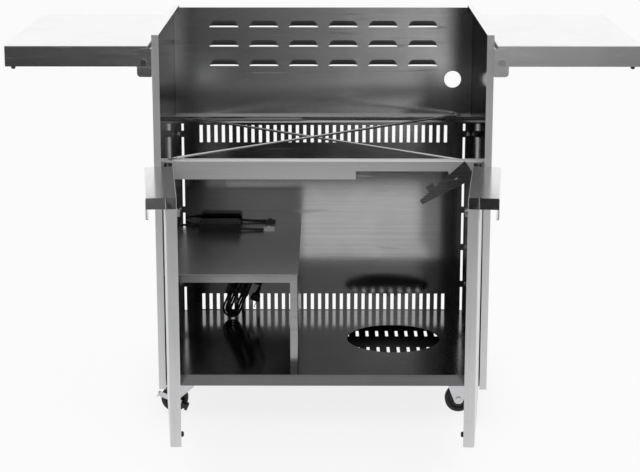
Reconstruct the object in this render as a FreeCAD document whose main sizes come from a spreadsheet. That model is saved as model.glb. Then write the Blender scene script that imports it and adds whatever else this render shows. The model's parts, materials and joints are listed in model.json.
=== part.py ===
import FreeCAD, Part
import math
import os
import re
import Sketcher
from FreeCAD import Placement, Rotation, Vector

# A free-standing grill cart of folded stainless sheet, doors open and side shelves up.
# Millimetres and degrees. +Z is up, the doors face -Y, and the origin is on the floor
# at the middle of the cart's footprint.

doc = FreeCAD.newDocument("grill_cart")

# Driving dimensions, one named cell each
DIMENSIONS = {
    # Cabinet shell
    "cabinet_width": 762,
    "cabinet_depth": 578,
    "panel_height": 827,
    "sheet_gauge": 1.5,
    "flange_width": 16,
    "running_gap": 0.3,
    # Rear panels
    "rear_top_drop": 6,
    "side_play": 1,
    "corner_notch_width": 13,
    "corner_notch_height": 12,
    "louvre_margin": 60,
    "louvre_rows": 3,
    "louvre_width": 76,
    "louvre_pitch": 101,
    "louvre_row_pitch": 49.5,
    "louvre_drop": 149,
    "louvre_radius": 16,
    "louvre_proud": 10,
    "louvre_mouth": 2.5,
    "gas_hole_diameter": 43,
    "gas_hole_inset": 49.5,
    "gas_hole_lift": 104,
    "slot_margin": 43,
    "slot_pitch": 19.05,
    "slot_width": 8,
    "upper_slot_drop": 60,
    "upper_slot_length": 45,
    "lower_slot_lift": 1.5,
    "lower_slot_length": 43,
    "edge_slit": 6,
    "tab_height": 17,
    "tab_pitch": 100,
    "tab_lift": 62.5,
    "tab_lap": 10,
    # Rails and braces
    "rail_over_door": 27,
    "rail_height": 43,
    "rail_setback": 32,
    "rail_depth": 28,
    "rail_notch_start": 75,
    "rail_notch_length": 210,
    "rail_notch_height": 19,
    "rail_notch_slope": 6,
    "rear_rail_rise": 9,
    "rear_rail_lap": 11,
    "rear_rail_height": 22,
    "rear_rail_depth": 25,
    "brace_diameter": 6,
    "brace_inset": 41,
    "brace_edge": 14,
    "brace_tab_length": 24,
    "brace_tab_width": 14,
    "brace_tab_thickness": 2.5,
    "screw_head_diameter": 10,
    "screw_head_height": 3,
    # Regulator bracket
    "arm_root_inset": 60,
    "arm_root_drop": 29,
    "arm_length": 118,
    "arm_heel": 18,
    "arm_root_width": 46,
    "arm_tip_width": 11,
    "arm_angle": 35,
    "arm_gauge": 2,
    "arm_tab_place": 80,
    "arm_tab_size": 18,
    "arm_slot_place": 40,
    "arm_slot_count": 2,
    "arm_slot_pitch": 18,
    "arm_slot_length": 10,
    "arm_slot_width": 4,
    # Floor, base pan and inner shelf
    "base_depth": 25,
    "lip_height": 27,
    "tank_hole_diameter": 230,
    "tank_hole_offset": 175,
    "tank_hole_setback": 321,
    "pan_slot_count": 10,
    "pan_slot_pitch": 25,
    "pan_slot_width": 7.5,
    "pan_slot_length": 50,
    "pan_row_count": 2,
    "pan_row_setback": 302,
    "pan_row_pitch": 138,
    "shelf_lift": 226,
    "divider_offset": 58,
    "shelf_setback": 93,
    "shelf_flange": 19,
    "cord_notch_inset": 81,
    "cord_notch_width": 36,
    "cord_notch_depth": 19,
    # Doors and their hinges
    "door_gap": 3,
    "door_thickness": 24,
    "door_overlap": 42,
    "door_height": 526,
    "door_open_angle": 84,
    "hinge_inset": 10,
    "hinge_setback": 11,
    "hinge_gauge": 2,
    "hinge_half_width": 9,
    "hinge_leg": 20,
    "upper_hinge_lift": 2,
    "lower_hinge_drop": 4,
    "pin_diameter": 6,
    "pin_reach": 12,
    "pin_collar_diameter": 12,
    "pull_start": 40,
    "pull_reach": 41,
    "pull_height": 24,
    "pull_lip": 46,
    "pull_curl": 6,
    "strike_width": 14,
    "strike_height": 12,
    "strike_proud": 6.5,
    "strike_inset": 6,
    "door_bumper_diameter": 12,
    "door_bumper_proud": 6,
    "door_bumper_lift": 26,
    "magnet_thickness": 9,
    # Side shelves and their brackets
    "side_shelf_length": 320,
    "side_shelf_depth": 570,
    "side_shelf_drop": 22,
    "side_shelf_thickness": 47,
    "side_shelf_overhang": 10,
    "side_shelf_gap": 7,
    "side_shelf_return": 22,
    "pivot_inset": 10,
    "pivot_drop": 38,
    "pivot_diameter": 8,
    "pivot_head_diameter": 15,
    "pivot_head_height": 4,
    "pivot_reach": 7,
    "bracket_gauge": 2,
    "bracket_play": 0.5,
    "bracket_pivot_lift": 32,
    "bracket_height": 63,
    "bracket_reach": 32,
    "bracket_leg": 42,
    "bracket_corner": 8,
    "shelf_bumper_diameter": 10,
    "shelf_bumper_inset": 17,
    "shelf_bumper_proud": 7.5,
    # Casters
    "caster_head": 21,
    "caster_side_inset": 58,
    "caster_inset": 96,
    "caster_trail": 30,
    "wheel_diameter": 64,
    "wheel_width": 23,
    "tread_crown": 2,
    "hub_diameter": 24,
    "web_width": 12,
    "rim_depth": 10,
    "axle_diameter": 8,
    "axle_head_diameter": 14,
    "axle_head_height": 4,
    "caster_plate_size": 60,
    "caster_plate_thickness": 3,
    "caster_bolt_spacing": 46,
    "caster_bolt_diameter": 10,
    "swivel_housing_diameter": 34,
    "swivel_housing_height": 8,
    "kingpin_diameter": 12,
    "kingpin_length": 6,
    "fork_gauge": 2.5,
    "fork_play": 2,
    "fork_nose": 18,
    "fork_eye": 10,
    "lever_gauge": 2,
    "lever_width": 12,
    "lever_tail": 42,
    "lever_toe": 36,
    "lever_angle": 24,
    "pedal_length": 18,
    "pedal_height": 12,
    "pedal_depth": 16,
    # Light transformer and its leads
    "transformer_length": 107,
    "transformer_depth": 45,
    "transformer_height": 28,
    "transformer_base_height": 10,
    "transformer_wall_gap": 59.5,
    "transformer_clearance": 25,
    "transformer_edge": 4,
    "gland_length": 16,
    "gland_diameter": 12,
    "gland_tip_diameter": 8,
    "gland_lift": 16,
    "cord_diameter": 5.5,
    "lead_diameter": 7,
    "lead_length": 60,
    "lead_exit_lift": 6,
    "lead_sway": 1,
    "connector_length": 27,
    "connector_width": 15,
    "connector_height": 12,
    "hank_turns": 3,
    "hank_run": 100,
    "hank_half_width": 20,
    "hank_pitch": 6.3,
    "hank_lean": 22,
    "hank_inset": 104,
    "hank_clearance": 76,
    "plug_offset": 44,
    "plug_tail": 20,
    "plug_width": 24,
    "plug_depth": 18,
    "plug_length": 38,
    "prong_length": 17,
    "prong_width": 6.3,
    "prong_thickness": 1.5,
    "prong_spacing": 12.7,
    "tie_width": 8,
    "tie_thickness": 1.2,
}

# Places and sizes that follow from the driving ones
DERIVED = {
    "half_width": "cabinet_width / 2",
    "inner_half": "half_width - sheet_gauge",
    "door_width": "half_width - flange_width - door_gap - door_gap / 2",
    "door_free_edge": "door_width - hinge_inset",
    "pivot_offset": "half_width - flange_width - door_gap - hinge_inset",
    "door_reach": "door_free_edge * sin(door_open_angle * 1 deg)"
                  " + (hinge_setback + pull_reach) * cos(door_open_angle * 1 deg)",
    "rear_reach": "cabinet_depth - sheet_gauge + louvre_proud",
    "front": "(door_reach - hinge_setback - rear_reach) / 2",
    "rear_outer": "front + cabinet_depth - sheet_gauge",
    "rear_inner": "rear_outer - sheet_gauge",
    "panel_bottom": "wheel_diameter + caster_head",
    "panel_top": "panel_bottom + panel_height",
    "floor_height": "panel_bottom + base_depth",
    "shelf_height": "floor_height + shelf_lift",
    "door_bottom": "floor_height - door_overlap",
    "door_top": "door_bottom + door_height",
    "rail_top": "door_top + rail_over_door",
    "rear_rail_top": "rail_top + rear_rail_rise",
    "panel_joint_height": "rear_rail_top - rear_rail_lap",
    "rear_top": "panel_top - rear_top_drop",
    "louvre_lowest": "rear_top - louvre_drop",
    "louvre_columns": "floor(2 * (inner_half - louvre_margin) / louvre_pitch)",
    "gas_hole_offset": "inner_half - gas_hole_inset",
    "gas_hole_height": "panel_joint_height + gas_hole_lift",
    "slot_count": "floor(2 * (half_width - flange_width - edge_slit - slot_margin) / slot_pitch) + 1",
    "upper_slot_bottom": "panel_joint_height - upper_slot_drop",
    "lower_slot_bottom": "floor_height + lower_slot_lift",
    "tab_lowest": "floor_height + tab_lift",
    "tab_ceiling": "rear_rail_top - rear_rail_height - running_gap",
    "tab_count": "floor((tab_ceiling - tab_height - tab_lowest) / tab_pitch) + 1",
    "rail_face": "front + rail_setback",
    "rail_bottom": "rail_top - rail_height",
    "hinge_line": "front + hinge_setback",
    "door_back": "door_thickness - hinge_setback",
    "brace_offset": "half_width - brace_inset",
    "brace_front": "rail_face + brace_edge",
    "brace_rear": "rear_inner - brace_edge",
    "brace_length": "sqrt((2 * brace_offset)^2 + (brace_rear - brace_front)^2 + rear_rail_rise^2)",
    "side_shelf_top": "panel_top - side_shelf_drop",
    "shelf_inner_end": "half_width + side_shelf_gap",
    "shelf_outer_end": "shelf_inner_end + side_shelf_length",
    "shelf_front": "front - side_shelf_overhang",
    "shelf_rear": "shelf_front + side_shelf_depth",
    "shelf_underside": "side_shelf_top - side_shelf_thickness",
    "shelf_pivot_x": "shelf_inner_end + pivot_inset",
    "shelf_pivot_z": "side_shelf_top - pivot_drop",
    "bracket_bottom": "shelf_pivot_z - bracket_pivot_lift",
    "caster_offset": "half_width - caster_side_inset",
    "axle_height": "wheel_diameter / 2",
    "fork_inside": "wheel_width / 2 + fork_play",
    "fork_outside": "fork_inside + fork_gauge",
    "plate_underside": "panel_bottom - caster_plate_thickness",
    "crown_top": "plate_underside - swivel_housing_height - running_gap",
    "lever_inside": "fork_outside + running_gap",
    "lever_outside": "lever_inside + lever_gauge",
    "transformer_left": "inner_half - transformer_wall_gap",
    "transformer_rear": "rear_inner - transformer_clearance",
    "transformer_front": "transformer_rear - transformer_depth",
    "transformer_middle": "transformer_rear - transformer_depth / 2",
    "transformer_right": "transformer_left - transformer_length",
    "cord_notch_offset": "transformer_left - cord_notch_inset",
    "hank_offset": "transformer_left - hank_inset",
    "hank_middle": "rear_inner - hank_clearance",
    "hank_lift": "floor_height + running_gap + hank_half_width + cord_diameter / 2"
                 " + hank_pitch / 2 + hank_run / 2 * cos(hank_lean * 1 deg)",
}

sheet = doc.addObject("Spreadsheet::Sheet", "dims")
cells = [(alias, str(value)) for alias, value in DIMENSIONS.items()]
cells += [(alias, "=" + formula) for alias, formula in DERIVED.items()]
for row, (alias, content) in enumerate(cells, start=1):
    sheet.set(f"A{row}", alias)
    sheet.set(f"B{row}", content)
    sheet.setAlias(f"B{row}", alias)
doc.recompute()

ALIAS_WORDS = re.compile(r"\b(" + "|".join(alias for alias, content in cells) + r")\b")
SIDES = (("left", -1), ("right", 1))
pieces = []


def size(alias):
    """The number that a cell of the sheet holds."""
    return float(sheet.get(alias))


def bind(thing, property_name, formula):
    """Tie one property to the sheet with a formula written in its aliases."""
    thing.setExpression(property_name, ALIAS_WORDS.sub(r"dims.\1", formula))


def keep(label, thing):
    """Name a finished piece, which is then written to a file of that name."""
    thing.Label = label
    pieces.append(thing)
    return thing


def box(name, x_limits, y_limits, z_limits):
    """A block between two limits on each axis."""
    solid = doc.addObject("Part::Box", name)
    spans = (("Length", "x", x_limits), ("Width", "y", y_limits), ("Height", "z", z_limits))
    for length_name, axis, (low, high) in spans:
        bind(solid, length_name, f"({high}) - ({low})")
        bind(solid, f"Placement.Base.{axis}", low)
    return solid


def cylinder(name, x, y, z, diameter):
    """A round bar along the one axis that is given as a pair of limits."""
    turns = {"x": Rotation(Vector(0, 1, 0), 90), "y": Rotation(Vector(1, 0, 0), -90), "z": Rotation()}
    solid = doc.addObject("Part::Cylinder", name)
    bind(solid, "Radius", f"({diameter}) / 2")
    for axis, place in (("x", x), ("y", y), ("z", z)):
        if isinstance(place, tuple):
            low, high = place
            solid.Placement = Placement(Vector(), turns[axis])
            bind(solid, "Height", f"({high}) - ({low})")
            place = low
        bind(solid, f"Placement.Base.{axis}", place)
    return solid


def fuse(name, *solids):
    """One solid from several that touch or overlap."""
    joined = doc.addObject("Part::MultiFuse", name)
    joined.Shapes = list(solids)
    joined.Refine = True
    return joined


def cut(name, base, *tools):
    """A solid with other solids taken out of it."""
    tool = tools[0] if len(tools) == 1 else fuse(name + "_tools", *tools)
    result = doc.addObject("Part::Cut", name)
    result.Base = base
    result.Tool = tool
    return result


def group(name, *solids):
    """Separate solids of one kind, kept together as one piece."""
    compound = doc.addObject("Part::Compound", name)
    compound.Links = list(solids)
    return compound


def fixed_shape(name, shape):
    """A piece whose shape is worked out from the sheet's numbers in this file."""
    feature = doc.addObject("Part::Feature", name)
    feature.Shape = shape
    return feature


def outward(sign, near, far):
    """X limits at two distances from the middle, on the left or the right side."""
    if sign < 0:
        return (f"-({far})", f"-({near})")
    return (near, far)


def both(half):
    """Limits the same distance either side of the middle."""
    return (f"-({half})", half)


def origin_plane(body, role):
    """One of the body's own base planes, such as XY_Plane."""
    return next(plane for plane in body.Origin.OriginFeatures if plane.Role == role)


def new_sketch(body, name, role):
    """An empty sketch on one of the body's base planes."""
    sketch = body.newObject("Sketcher::SketchObject", name)
    sketch.AttachmentSupport = [(origin_plane(body, role), "")]
    sketch.MapMode = "FlatFace"
    return sketch


def tie_point(sketch, line, point, label, start, place):
    """Hold one point of a sketch at two distances from the sketch's origin."""
    for direction, first, formula in (("DistanceX", start.x, place[0]), ("DistanceY", start.y, place[1])):
        index = sketch.addConstraint(Sketcher.Constraint(direction, -1, 1, line, point, first))
        title = f"{direction.lower()}_{label}"
        sketch.renameConstraint(index, title)
        bind(sketch, f"Constraints.{title}", formula)


def polygon(body, name, role, points):
    """A closed outline of straight lines, with each corner tied to the sheet."""
    sketch = new_sketch(body, name, role)
    count = len(points)
    first_turn = 0.3
    start_radius = 100
    turns = [first_turn + 2 * math.pi * step / count for step in range(count)]
    starts = [Vector(start_radius * math.cos(turn), start_radius * math.sin(turn), 0) for turn in turns]
    for line in range(count):
        sketch.addGeometry(Part.LineSegment(starts[line], starts[(line + 1) % count]), False)
    for line in range(count):
        sketch.addConstraint(Sketcher.Constraint("Coincident", line, 2, (line + 1) % count, 1))
    for line, place in enumerate(points):
        tie_point(sketch, line, 1, str(line), starts[line], place)
    return sketch


def rectangle(body, name, role, across, up):
    """A rectangular outline between two limits each way."""
    corners = [(across[0], up[0]), (across[1], up[0]), (across[1], up[1]), (across[0], up[1])]
    return polygon(body, name, role, corners)


def circle(body, name, role, centre, diameter):
    """A round outline."""
    sketch = new_sketch(body, name, role)
    start = Vector(7, 5, 0)
    start_radius = 3
    sketch.addGeometry(Part.Circle(start, Vector(0, 0, 1), start_radius), False)
    tie_point(sketch, 0, 3, "centre", start, centre)
    index = sketch.addConstraint(Sketcher.Constraint("Diameter", 0, 2 * start_radius))
    sketch.renameConstraint(index, "diameter")
    bind(sketch, "Constraints.diameter", diameter)
    return sketch


def extrude(body, kind, sketch, length, side="One side", reverse=False):
    """A pad or a pocket of an outline."""
    feature = body.newObject(f"PartDesign::{kind}", f"{sketch.Name}_{kind.lower()}")
    feature.Profile = sketch
    feature.SideType = side
    feature.Reversed = reverse
    bind(feature, "Length", length)
    body.Tip = feature
    return feature


def row_of(body, feature, sketch, axis, count, pitch):
    """Repeat a pad or pocket along one axis of its sketch."""
    pattern = body.newObject("PartDesign::LinearPattern", f"{feature.Name}_row")
    pattern.Originals = [feature]
    pattern.Direction = (sketch, [axis])
    bind(pattern, "Occurrences", count)
    bind(pattern, "Length", f"({count} - 1) * {pitch}")
    body.Tip = pattern
    return pattern


def place(thing, x, y, z):
    """Put a body or a joined solid at a place worked out from the sheet."""
    for axis, formula in (("x", x), ("y", y), ("z", z)):
        bind(thing, f"Placement.Base.{axis}", formula)
    return thing


def turn(thing, axis, angle):
    """Turn a body or a joined solid about an axis through its own origin."""
    thing.Placement = Placement(Vector(), Rotation(axis, 1))
    bind(thing, "Placement.Rotation.Angle", angle)
    return thing


UPRIGHT = Vector(0, 0, 1)
ACROSS = Vector(0, 1, 0)

# Side panels: a wall with return flanges at the front, the rear and the top
for side, sign in SIDES:
    wall_span = outward(sign, "inner_half", "half_width")
    flange_span = outward(sign, "half_width - flange_width", "half_width")
    full_depth = ("front", "front + cabinet_depth")
    full_height = ("panel_bottom", "panel_top")
    keep(f"{side}_side_panel", fuse(
        f"{side}_side_panel",
        box(f"{side}_wall", wall_span, full_depth, full_height),
        box(f"{side}_front_flange", flange_span, ("front", "front + sheet_gauge"), full_height),
        box(f"{side}_rear_flange", flange_span, ("rear_outer", "front + cabinet_depth"), full_height),
        box(f"{side}_top_flange", flange_span, full_depth, ("panel_top - sheet_gauge", "panel_top")),
    ))


def louvre_shapes():
    """Pressed hoods for the upper rear panel, and the punches that open them."""
    gauge = size("sheet_gauge")
    radius = size("louvre_radius")
    inside = radius - gauge
    straight = size("louvre_width") - 2 * radius
    axis_y = size("rear_outer") + size("louvre_proud") - radius
    mouth = size("louvre_mouth")
    columns = int(size("louvre_columns"))
    hoods = []
    punches = []
    for row in range(int(size("louvre_rows"))):
        bottom = size("louvre_lowest") + row * size("louvre_row_pitch")
        rim = bottom + mouth
        for column in range(columns):
            middle = (column - (columns - 1) / 2) * size("louvre_pitch")
            start = Vector(middle - straight / 2, axis_y, rim)
            end = start + Vector(straight, 0, 0)
            corner = Vector(middle - radius - straight, size("rear_inner"), rim)
            keep_box = Part.makeBox(2 * (radius + straight), 2 * radius, 2 * radius, corner)
            hoods.append(capsule(start, end, radius).common(keep_box))
            open_corner = corner - Vector(0, radius, 0)
            open_box = Part.makeBox(2 * (radius + straight), 4 * radius, 2 * radius, open_corner)
            hollow = capsule(start, end, inside)
            slot_corner = Vector(middle - straight / 2 - inside, size("rear_inner") - gauge, bottom)
            slot = Part.makeBox(straight + 2 * inside, 3 * gauge, mouth, slot_corner)
            punches.append(hollow.common(open_box).fuse(slot))
    return Part.makeCompound(hoods), Part.makeCompound(punches)


def capsule(start, end, radius):
    """A round bar with ball ends."""
    along = end - start
    bar = Part.makeCylinder(radius, along.Length, start, along)
    return bar.fuse([Part.makeSphere(radius, start), Part.makeSphere(radius, end)]).removeSplitter()


# Upper rear panel with notched top corners, louvres and the gas hole
hood_shape, punch_shape = louvre_shapes()
rear_sheet = ("rear_inner", "rear_outer")
upper_blank = box("upper_rear_blank", both("inner_half - side_play"), rear_sheet,
                  ("panel_joint_height", "rear_top"))
upper_notches = [
    box(f"{side}_corner_notch",
        outward(sign, "inner_half - side_play - corner_notch_width", "half_width"),
        rear_sheet, ("rear_top - corner_notch_height", "rear_top + sheet_gauge"))
    for side, sign in SIDES
]
gas_hole = cylinder("gas_hole", "gas_hole_offset", rear_sheet, "gas_hole_height", "gas_hole_diameter")
keep("rear_panel_upper", cut(
    "rear_panel_upper",
    fuse("louvred_blank", upper_blank, fixed_shape("louvre_hoods", hood_shape)),
    fixed_shape("louvre_punches", punch_shape), gas_hole, *upper_notches,
))

# Lower rear panel: slots above and below, and tabs that lap the side panels' rear flanges
lower_rear = doc.addObject("PartDesign::Body", "rear_panel_lower")
lower_half = "half_width - flange_width - edge_slit"
lower_sheet = rectangle(lower_rear, "lower_sheet", "XZ_Plane", both(lower_half),
                        ("panel_bottom", "panel_joint_height"))
extrude(lower_rear, "Pad", lower_sheet, "sheet_gauge", reverse=True)
tab_sheet = rectangle(lower_rear, "edge_tabs", "XZ_Plane", both("half_width - flange_width + tab_lap"),
                      ("tab_lowest", "tab_lowest + tab_height"))
tab_pad = extrude(lower_rear, "Pad", tab_sheet, "sheet_gauge", reverse=True)
row_of(lower_rear, tab_pad, tab_sheet, "V_Axis", "tab_count", "tab_pitch")
for level in ("upper", "lower"):
    first_slot = "-(slot_count - 1) * slot_pitch / 2"
    slot_sketch = rectangle(
        lower_rear, f"{level}_slots", "XZ_Plane",
        (f"{first_slot} - slot_width / 2", f"{first_slot} + slot_width / 2"),
        (f"{level}_slot_bottom", f"{level}_slot_bottom + {level}_slot_length"))
    slot_pocket = extrude(lower_rear, "Pocket", slot_sketch, "sheet_gauge * 4", side="Symmetric")
    row_of(lower_rear, slot_pocket, slot_sketch, "H_Axis", "slot_count", "slot_pitch")
keep("rear_panel_lower", place(lower_rear, "0", "rear_inner", "0"))

# Screw heads that hold the lower rear panel's tabs
tab_screws = []
for side, sign in SIDES:
    for step in range(int(size("tab_count"))):
        screw_x = f"{sign} * (half_width - flange_width / 2)"
        screw_z = f"tab_lowest + tab_height / 2 + {step} * tab_pitch"
        tab_screws.append(cylinder(
            f"{side}_tab_screw", screw_x, ("rear_inner - screw_head_height", "rear_inner"),
            screw_z, "screw_head_diameter"))

# Rear rail: an angle on the panel joint
rail_span = both("inner_half")
rear_rail_bottom = "rear_rail_top - rear_rail_height"
keep("rear_rail", fuse(
    "rear_rail",
    box("rear_rail_web", rail_span, ("rear_inner - sheet_gauge", "rear_inner"),
        (rear_rail_bottom, "rear_rail_top")),
    box("rear_rail_flange", rail_span, ("rear_inner - rear_rail_depth", "rear_inner"),
        ("rear_rail_top - sheet_gauge", "rear_rail_top")),
))

# Front rail: a web with a notch in its lower edge over the tank, and a top flange
front_rail = doc.addObject("PartDesign::Body", "front_rail")
notch_end = "rail_notch_start + rail_notch_length"
rail_outline = polygon(front_rail, "rail_outline", "XZ_Plane", [
    ("-inner_half", "rail_bottom"),
    ("rail_notch_start", "rail_bottom"),
    ("rail_notch_start", "rail_bottom + rail_notch_height"),
    (notch_end, "rail_bottom + rail_notch_height"),
    (f"{notch_end} + rail_notch_slope", "rail_bottom"),
    ("inner_half", "rail_bottom"),
    ("inner_half", "rail_top"),
    ("-inner_half", "rail_top"),
])
extrude(front_rail, "Pad", rail_outline, "sheet_gauge", reverse=True)
rail_flange = rectangle(front_rail, "rail_flange", "XZ_Plane", rail_span,
                        ("rail_top - sheet_gauge", "rail_top"))
extrude(front_rail, "Pad", rail_flange, "rail_depth", reverse=True)
keep("front_rail", place(front_rail, "0", "rail_face", "0"))


def brace(name, sign, lift, flip):
    """A round rod with a flattened tab at each end, from a front corner to the far rear corner."""
    rod_low = "brace_tab_length / 4"
    rod = cylinder(f"{name}_rod", "0", f"{flip} * brace_diameter / 2",
                   (rod_low, f"brace_length - {rod_low}"), "brace_diameter")
    tab_limits = ("0", "brace_tab_thickness") if flip > 0 else ("-brace_tab_thickness", "0")
    tabs = [
        box(f"{name}_tab", both("brace_tab_width / 2"), tab_limits,
            (f"{middle} - brace_tab_length / 2", f"{middle} + brace_tab_length / 2"))
        for middle in ("0", "brace_length")
    ]
    rod_and_tabs = fuse(name, rod, *tabs)
    run = size("brace_rear") - size("brace_front")
    along = Vector(-2 * sign * size("brace_offset"), run, size("rear_rail_rise"))
    rod_and_tabs.Placement = Placement(Vector(), Rotation(Vector(), UPRIGHT, along, "ZYX"))
    return place(rod_and_tabs, f"{sign} * brace_offset", "brace_front", lift)


# Cross braces: one over the rails and one under them, each held by a screw at both ends
keep("upper_cross_brace", brace("upper_cross_brace", -1, "rail_top + running_gap", 1))
keep("lower_cross_brace", brace("lower_cross_brace", 1, "rail_top - sheet_gauge - running_gap", -1))
tab_top = "running_gap + brace_tab_thickness + running_gap"
brace_screws = []
for sign, level_sign in ((-1, 1), (1, -1)):
    ends = ((sign, "brace_front", "rail_top"), (-sign, "brace_rear", "rear_rail_top"))
    for end_sign, screw_y, flange_top in ends:
        low = f"{flange_top} + {tab_top}"
        high = f"{low} + screw_head_height"
        if level_sign < 0:
            high = f"{flange_top} - sheet_gauge - ({tab_top})"
            low = f"{high} - screw_head_height"
        brace_screws.append(cylinder("brace_screw", f"{end_sign} * brace_offset", screw_y, (low, high),
                                     "screw_head_diameter"))
keep("frame_screws", group("frame_screws", *tab_screws, *brace_screws))

# Regulator bracket: a tapered arm with a small tab, screwed to the right end of the front rail
arm = doc.addObject("PartDesign::Body", "regulator_bracket")
arm_outline = polygon(arm, "arm_outline", "XZ_Plane", [
    ("arm_heel", "-arm_root_width / 2"),
    ("arm_heel", "arm_root_width / 2"),
    ("-arm_length", "arm_tip_width / 2"),
    ("-arm_length", "-arm_tip_width / 2"),
])
extrude(arm, "Pad", arm_outline, "arm_gauge")
arm_tab = rectangle(arm, "arm_tab", "XZ_Plane",
                    ("-arm_tab_place - arm_tab_size / 2", "-arm_tab_place + arm_tab_size / 2"),
                    ("0", "arm_tip_width / 2 + arm_tab_size"))
extrude(arm, "Pad", arm_tab, "arm_gauge")
arm_slot = rectangle(arm, "arm_slot", "XZ_Plane",
                     ("-arm_slot_place - arm_slot_length / 2", "-arm_slot_place + arm_slot_length / 2"),
                     both("arm_slot_width / 2"))
arm_slot_pocket = extrude(arm, "Pocket", arm_slot, "arm_gauge * 4", side="Symmetric")
row_of(arm, arm_slot_pocket, arm_slot, "H_Axis", "arm_slot_count", "arm_slot_pitch")
turn(arm, ACROSS, "-arm_angle")
keep("regulator_bracket", place(arm, "half_width - arm_root_inset", "rail_face", "rail_top - arm_root_drop"))

# Floor panel with a front lip and a round hole for the gas tank's foot
floor_panel = doc.addObject("PartDesign::Body", "floor_panel")
floor_depth = ("rail_setback", "cabinet_depth - 2 * sheet_gauge")
floor_outline = rectangle(floor_panel, "floor_outline", "XY_Plane", both("inner_half"), floor_depth)
extrude(floor_panel, "Pad", floor_outline, "sheet_gauge")
lip_outline = rectangle(floor_panel, "lip_outline", "XY_Plane", both("inner_half"),
                        ("rail_setback", "rail_setback + sheet_gauge"))
extrude(floor_panel, "Pad", lip_outline, "lip_height - sheet_gauge", reverse=True)
tank_hole = circle(floor_panel, "tank_hole", "XY_Plane", ("tank_hole_offset", "tank_hole_setback"),
                   "tank_hole_diameter")
extrude(floor_panel, "Pocket", tank_hole, "sheet_gauge * 4", side="Symmetric")
keep("floor_panel", place(floor_panel, "0", "front", "floor_height - sheet_gauge"))

# Base pan: a slotted tray under the floor, which carries the casters
base_pan = doc.addObject("PartDesign::Body", "base_pan")
pan_front = "rail_setback + sheet_gauge + running_gap"
pan_rear = "cabinet_depth - 2 * sheet_gauge"
pan_outline = rectangle(base_pan, "pan_outline", "XY_Plane", both("inner_half"), (pan_front, pan_rear))
extrude(base_pan, "Pad", pan_outline, "sheet_gauge")
pan_edges = {
    "left_pan_edge": (("-inner_half", "-inner_half + sheet_gauge"), (pan_front, pan_rear)),
    "right_pan_edge": (("inner_half - sheet_gauge", "inner_half"), (pan_front, pan_rear)),
    "rear_pan_edge": (both("inner_half"), (f"{pan_rear} - sheet_gauge", pan_rear)),
}
for edge_name, (edge_across, edge_along) in pan_edges.items():
    edge_sketch = rectangle(base_pan, edge_name, "XY_Plane", edge_across, edge_along)
    extrude(base_pan, "Pad", edge_sketch, "floor_height - sheet_gauge - panel_bottom")
pan_first = "tank_hole_offset - (pan_slot_count - 1) * pan_slot_pitch / 2"
for row_number in range(int(size("pan_row_count"))):
    row_y = f"pan_row_setback + {row_number} * pan_row_pitch"
    pan_slot = rectangle(base_pan, f"pan_slots_{row_number}", "XY_Plane",
                         (f"{pan_first} - pan_slot_width / 2", f"{pan_first} + pan_slot_width / 2"),
                         (f"{row_y} - pan_slot_length / 2", f"{row_y} + pan_slot_length / 2"))
    pan_pocket = extrude(base_pan, "Pocket", pan_slot, "sheet_gauge * 4", side="Symmetric")
    row_of(base_pan, pan_pocket, pan_slot, "H_Axis", "pan_slot_count", "pan_slot_pitch")
keep("base_pan", place(base_pan, "0", "front", "panel_bottom"))

# Inner shelf: one sheet folded into a shelf and a divider that stands on the floor
shelf_across = ("-inner_half", "-divider_offset")
shelf_along = ("front + shelf_setback", "rear_inner")
shelf_edge_along = ("front + shelf_setback", "front + shelf_setback + sheet_gauge")
flange_up = ("shelf_height - shelf_flange", "shelf_height")
divider_up = ("floor_height", "shelf_height")
folded_shelf = fuse(
    "folded_shelf",
    box("shelf_top", shelf_across, shelf_along, ("shelf_height - sheet_gauge", "shelf_height")),
    box("shelf_front_flange", shelf_across, shelf_edge_along, flange_up),
    box("shelf_wall_flange", ("-inner_half", "-inner_half + sheet_gauge"), shelf_along, flange_up),
    box("divider", ("-divider_offset - sheet_gauge", "-divider_offset"), shelf_along, divider_up),
    box("divider_flange", ("-divider_offset - shelf_flange", "-divider_offset"), shelf_edge_along,
        divider_up),
)
cord_notch = box("cord_notch",
                 ("-cord_notch_offset - cord_notch_width / 2", "-cord_notch_offset + cord_notch_width / 2"),
                 ("rear_inner - cord_notch_depth", "rear_outer"),
                 ("shelf_height - 2 * sheet_gauge", "shelf_height + sheet_gauge"))
keep("inner_shelf", cut("inner_shelf", folded_shelf, cord_notch))


def door_span(sign, near, far):
    """X limits measured from the hinge pin towards the door's free edge."""
    return outward(-sign, near, far)


def hang(thing, sign):
    """Hang a door piece on its hinge pin at the open angle."""
    turn(thing, UPRIGHT, f"{sign} * door_open_angle")
    return place(thing, f"{sign} * pivot_offset", "hinge_line", "0")


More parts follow.
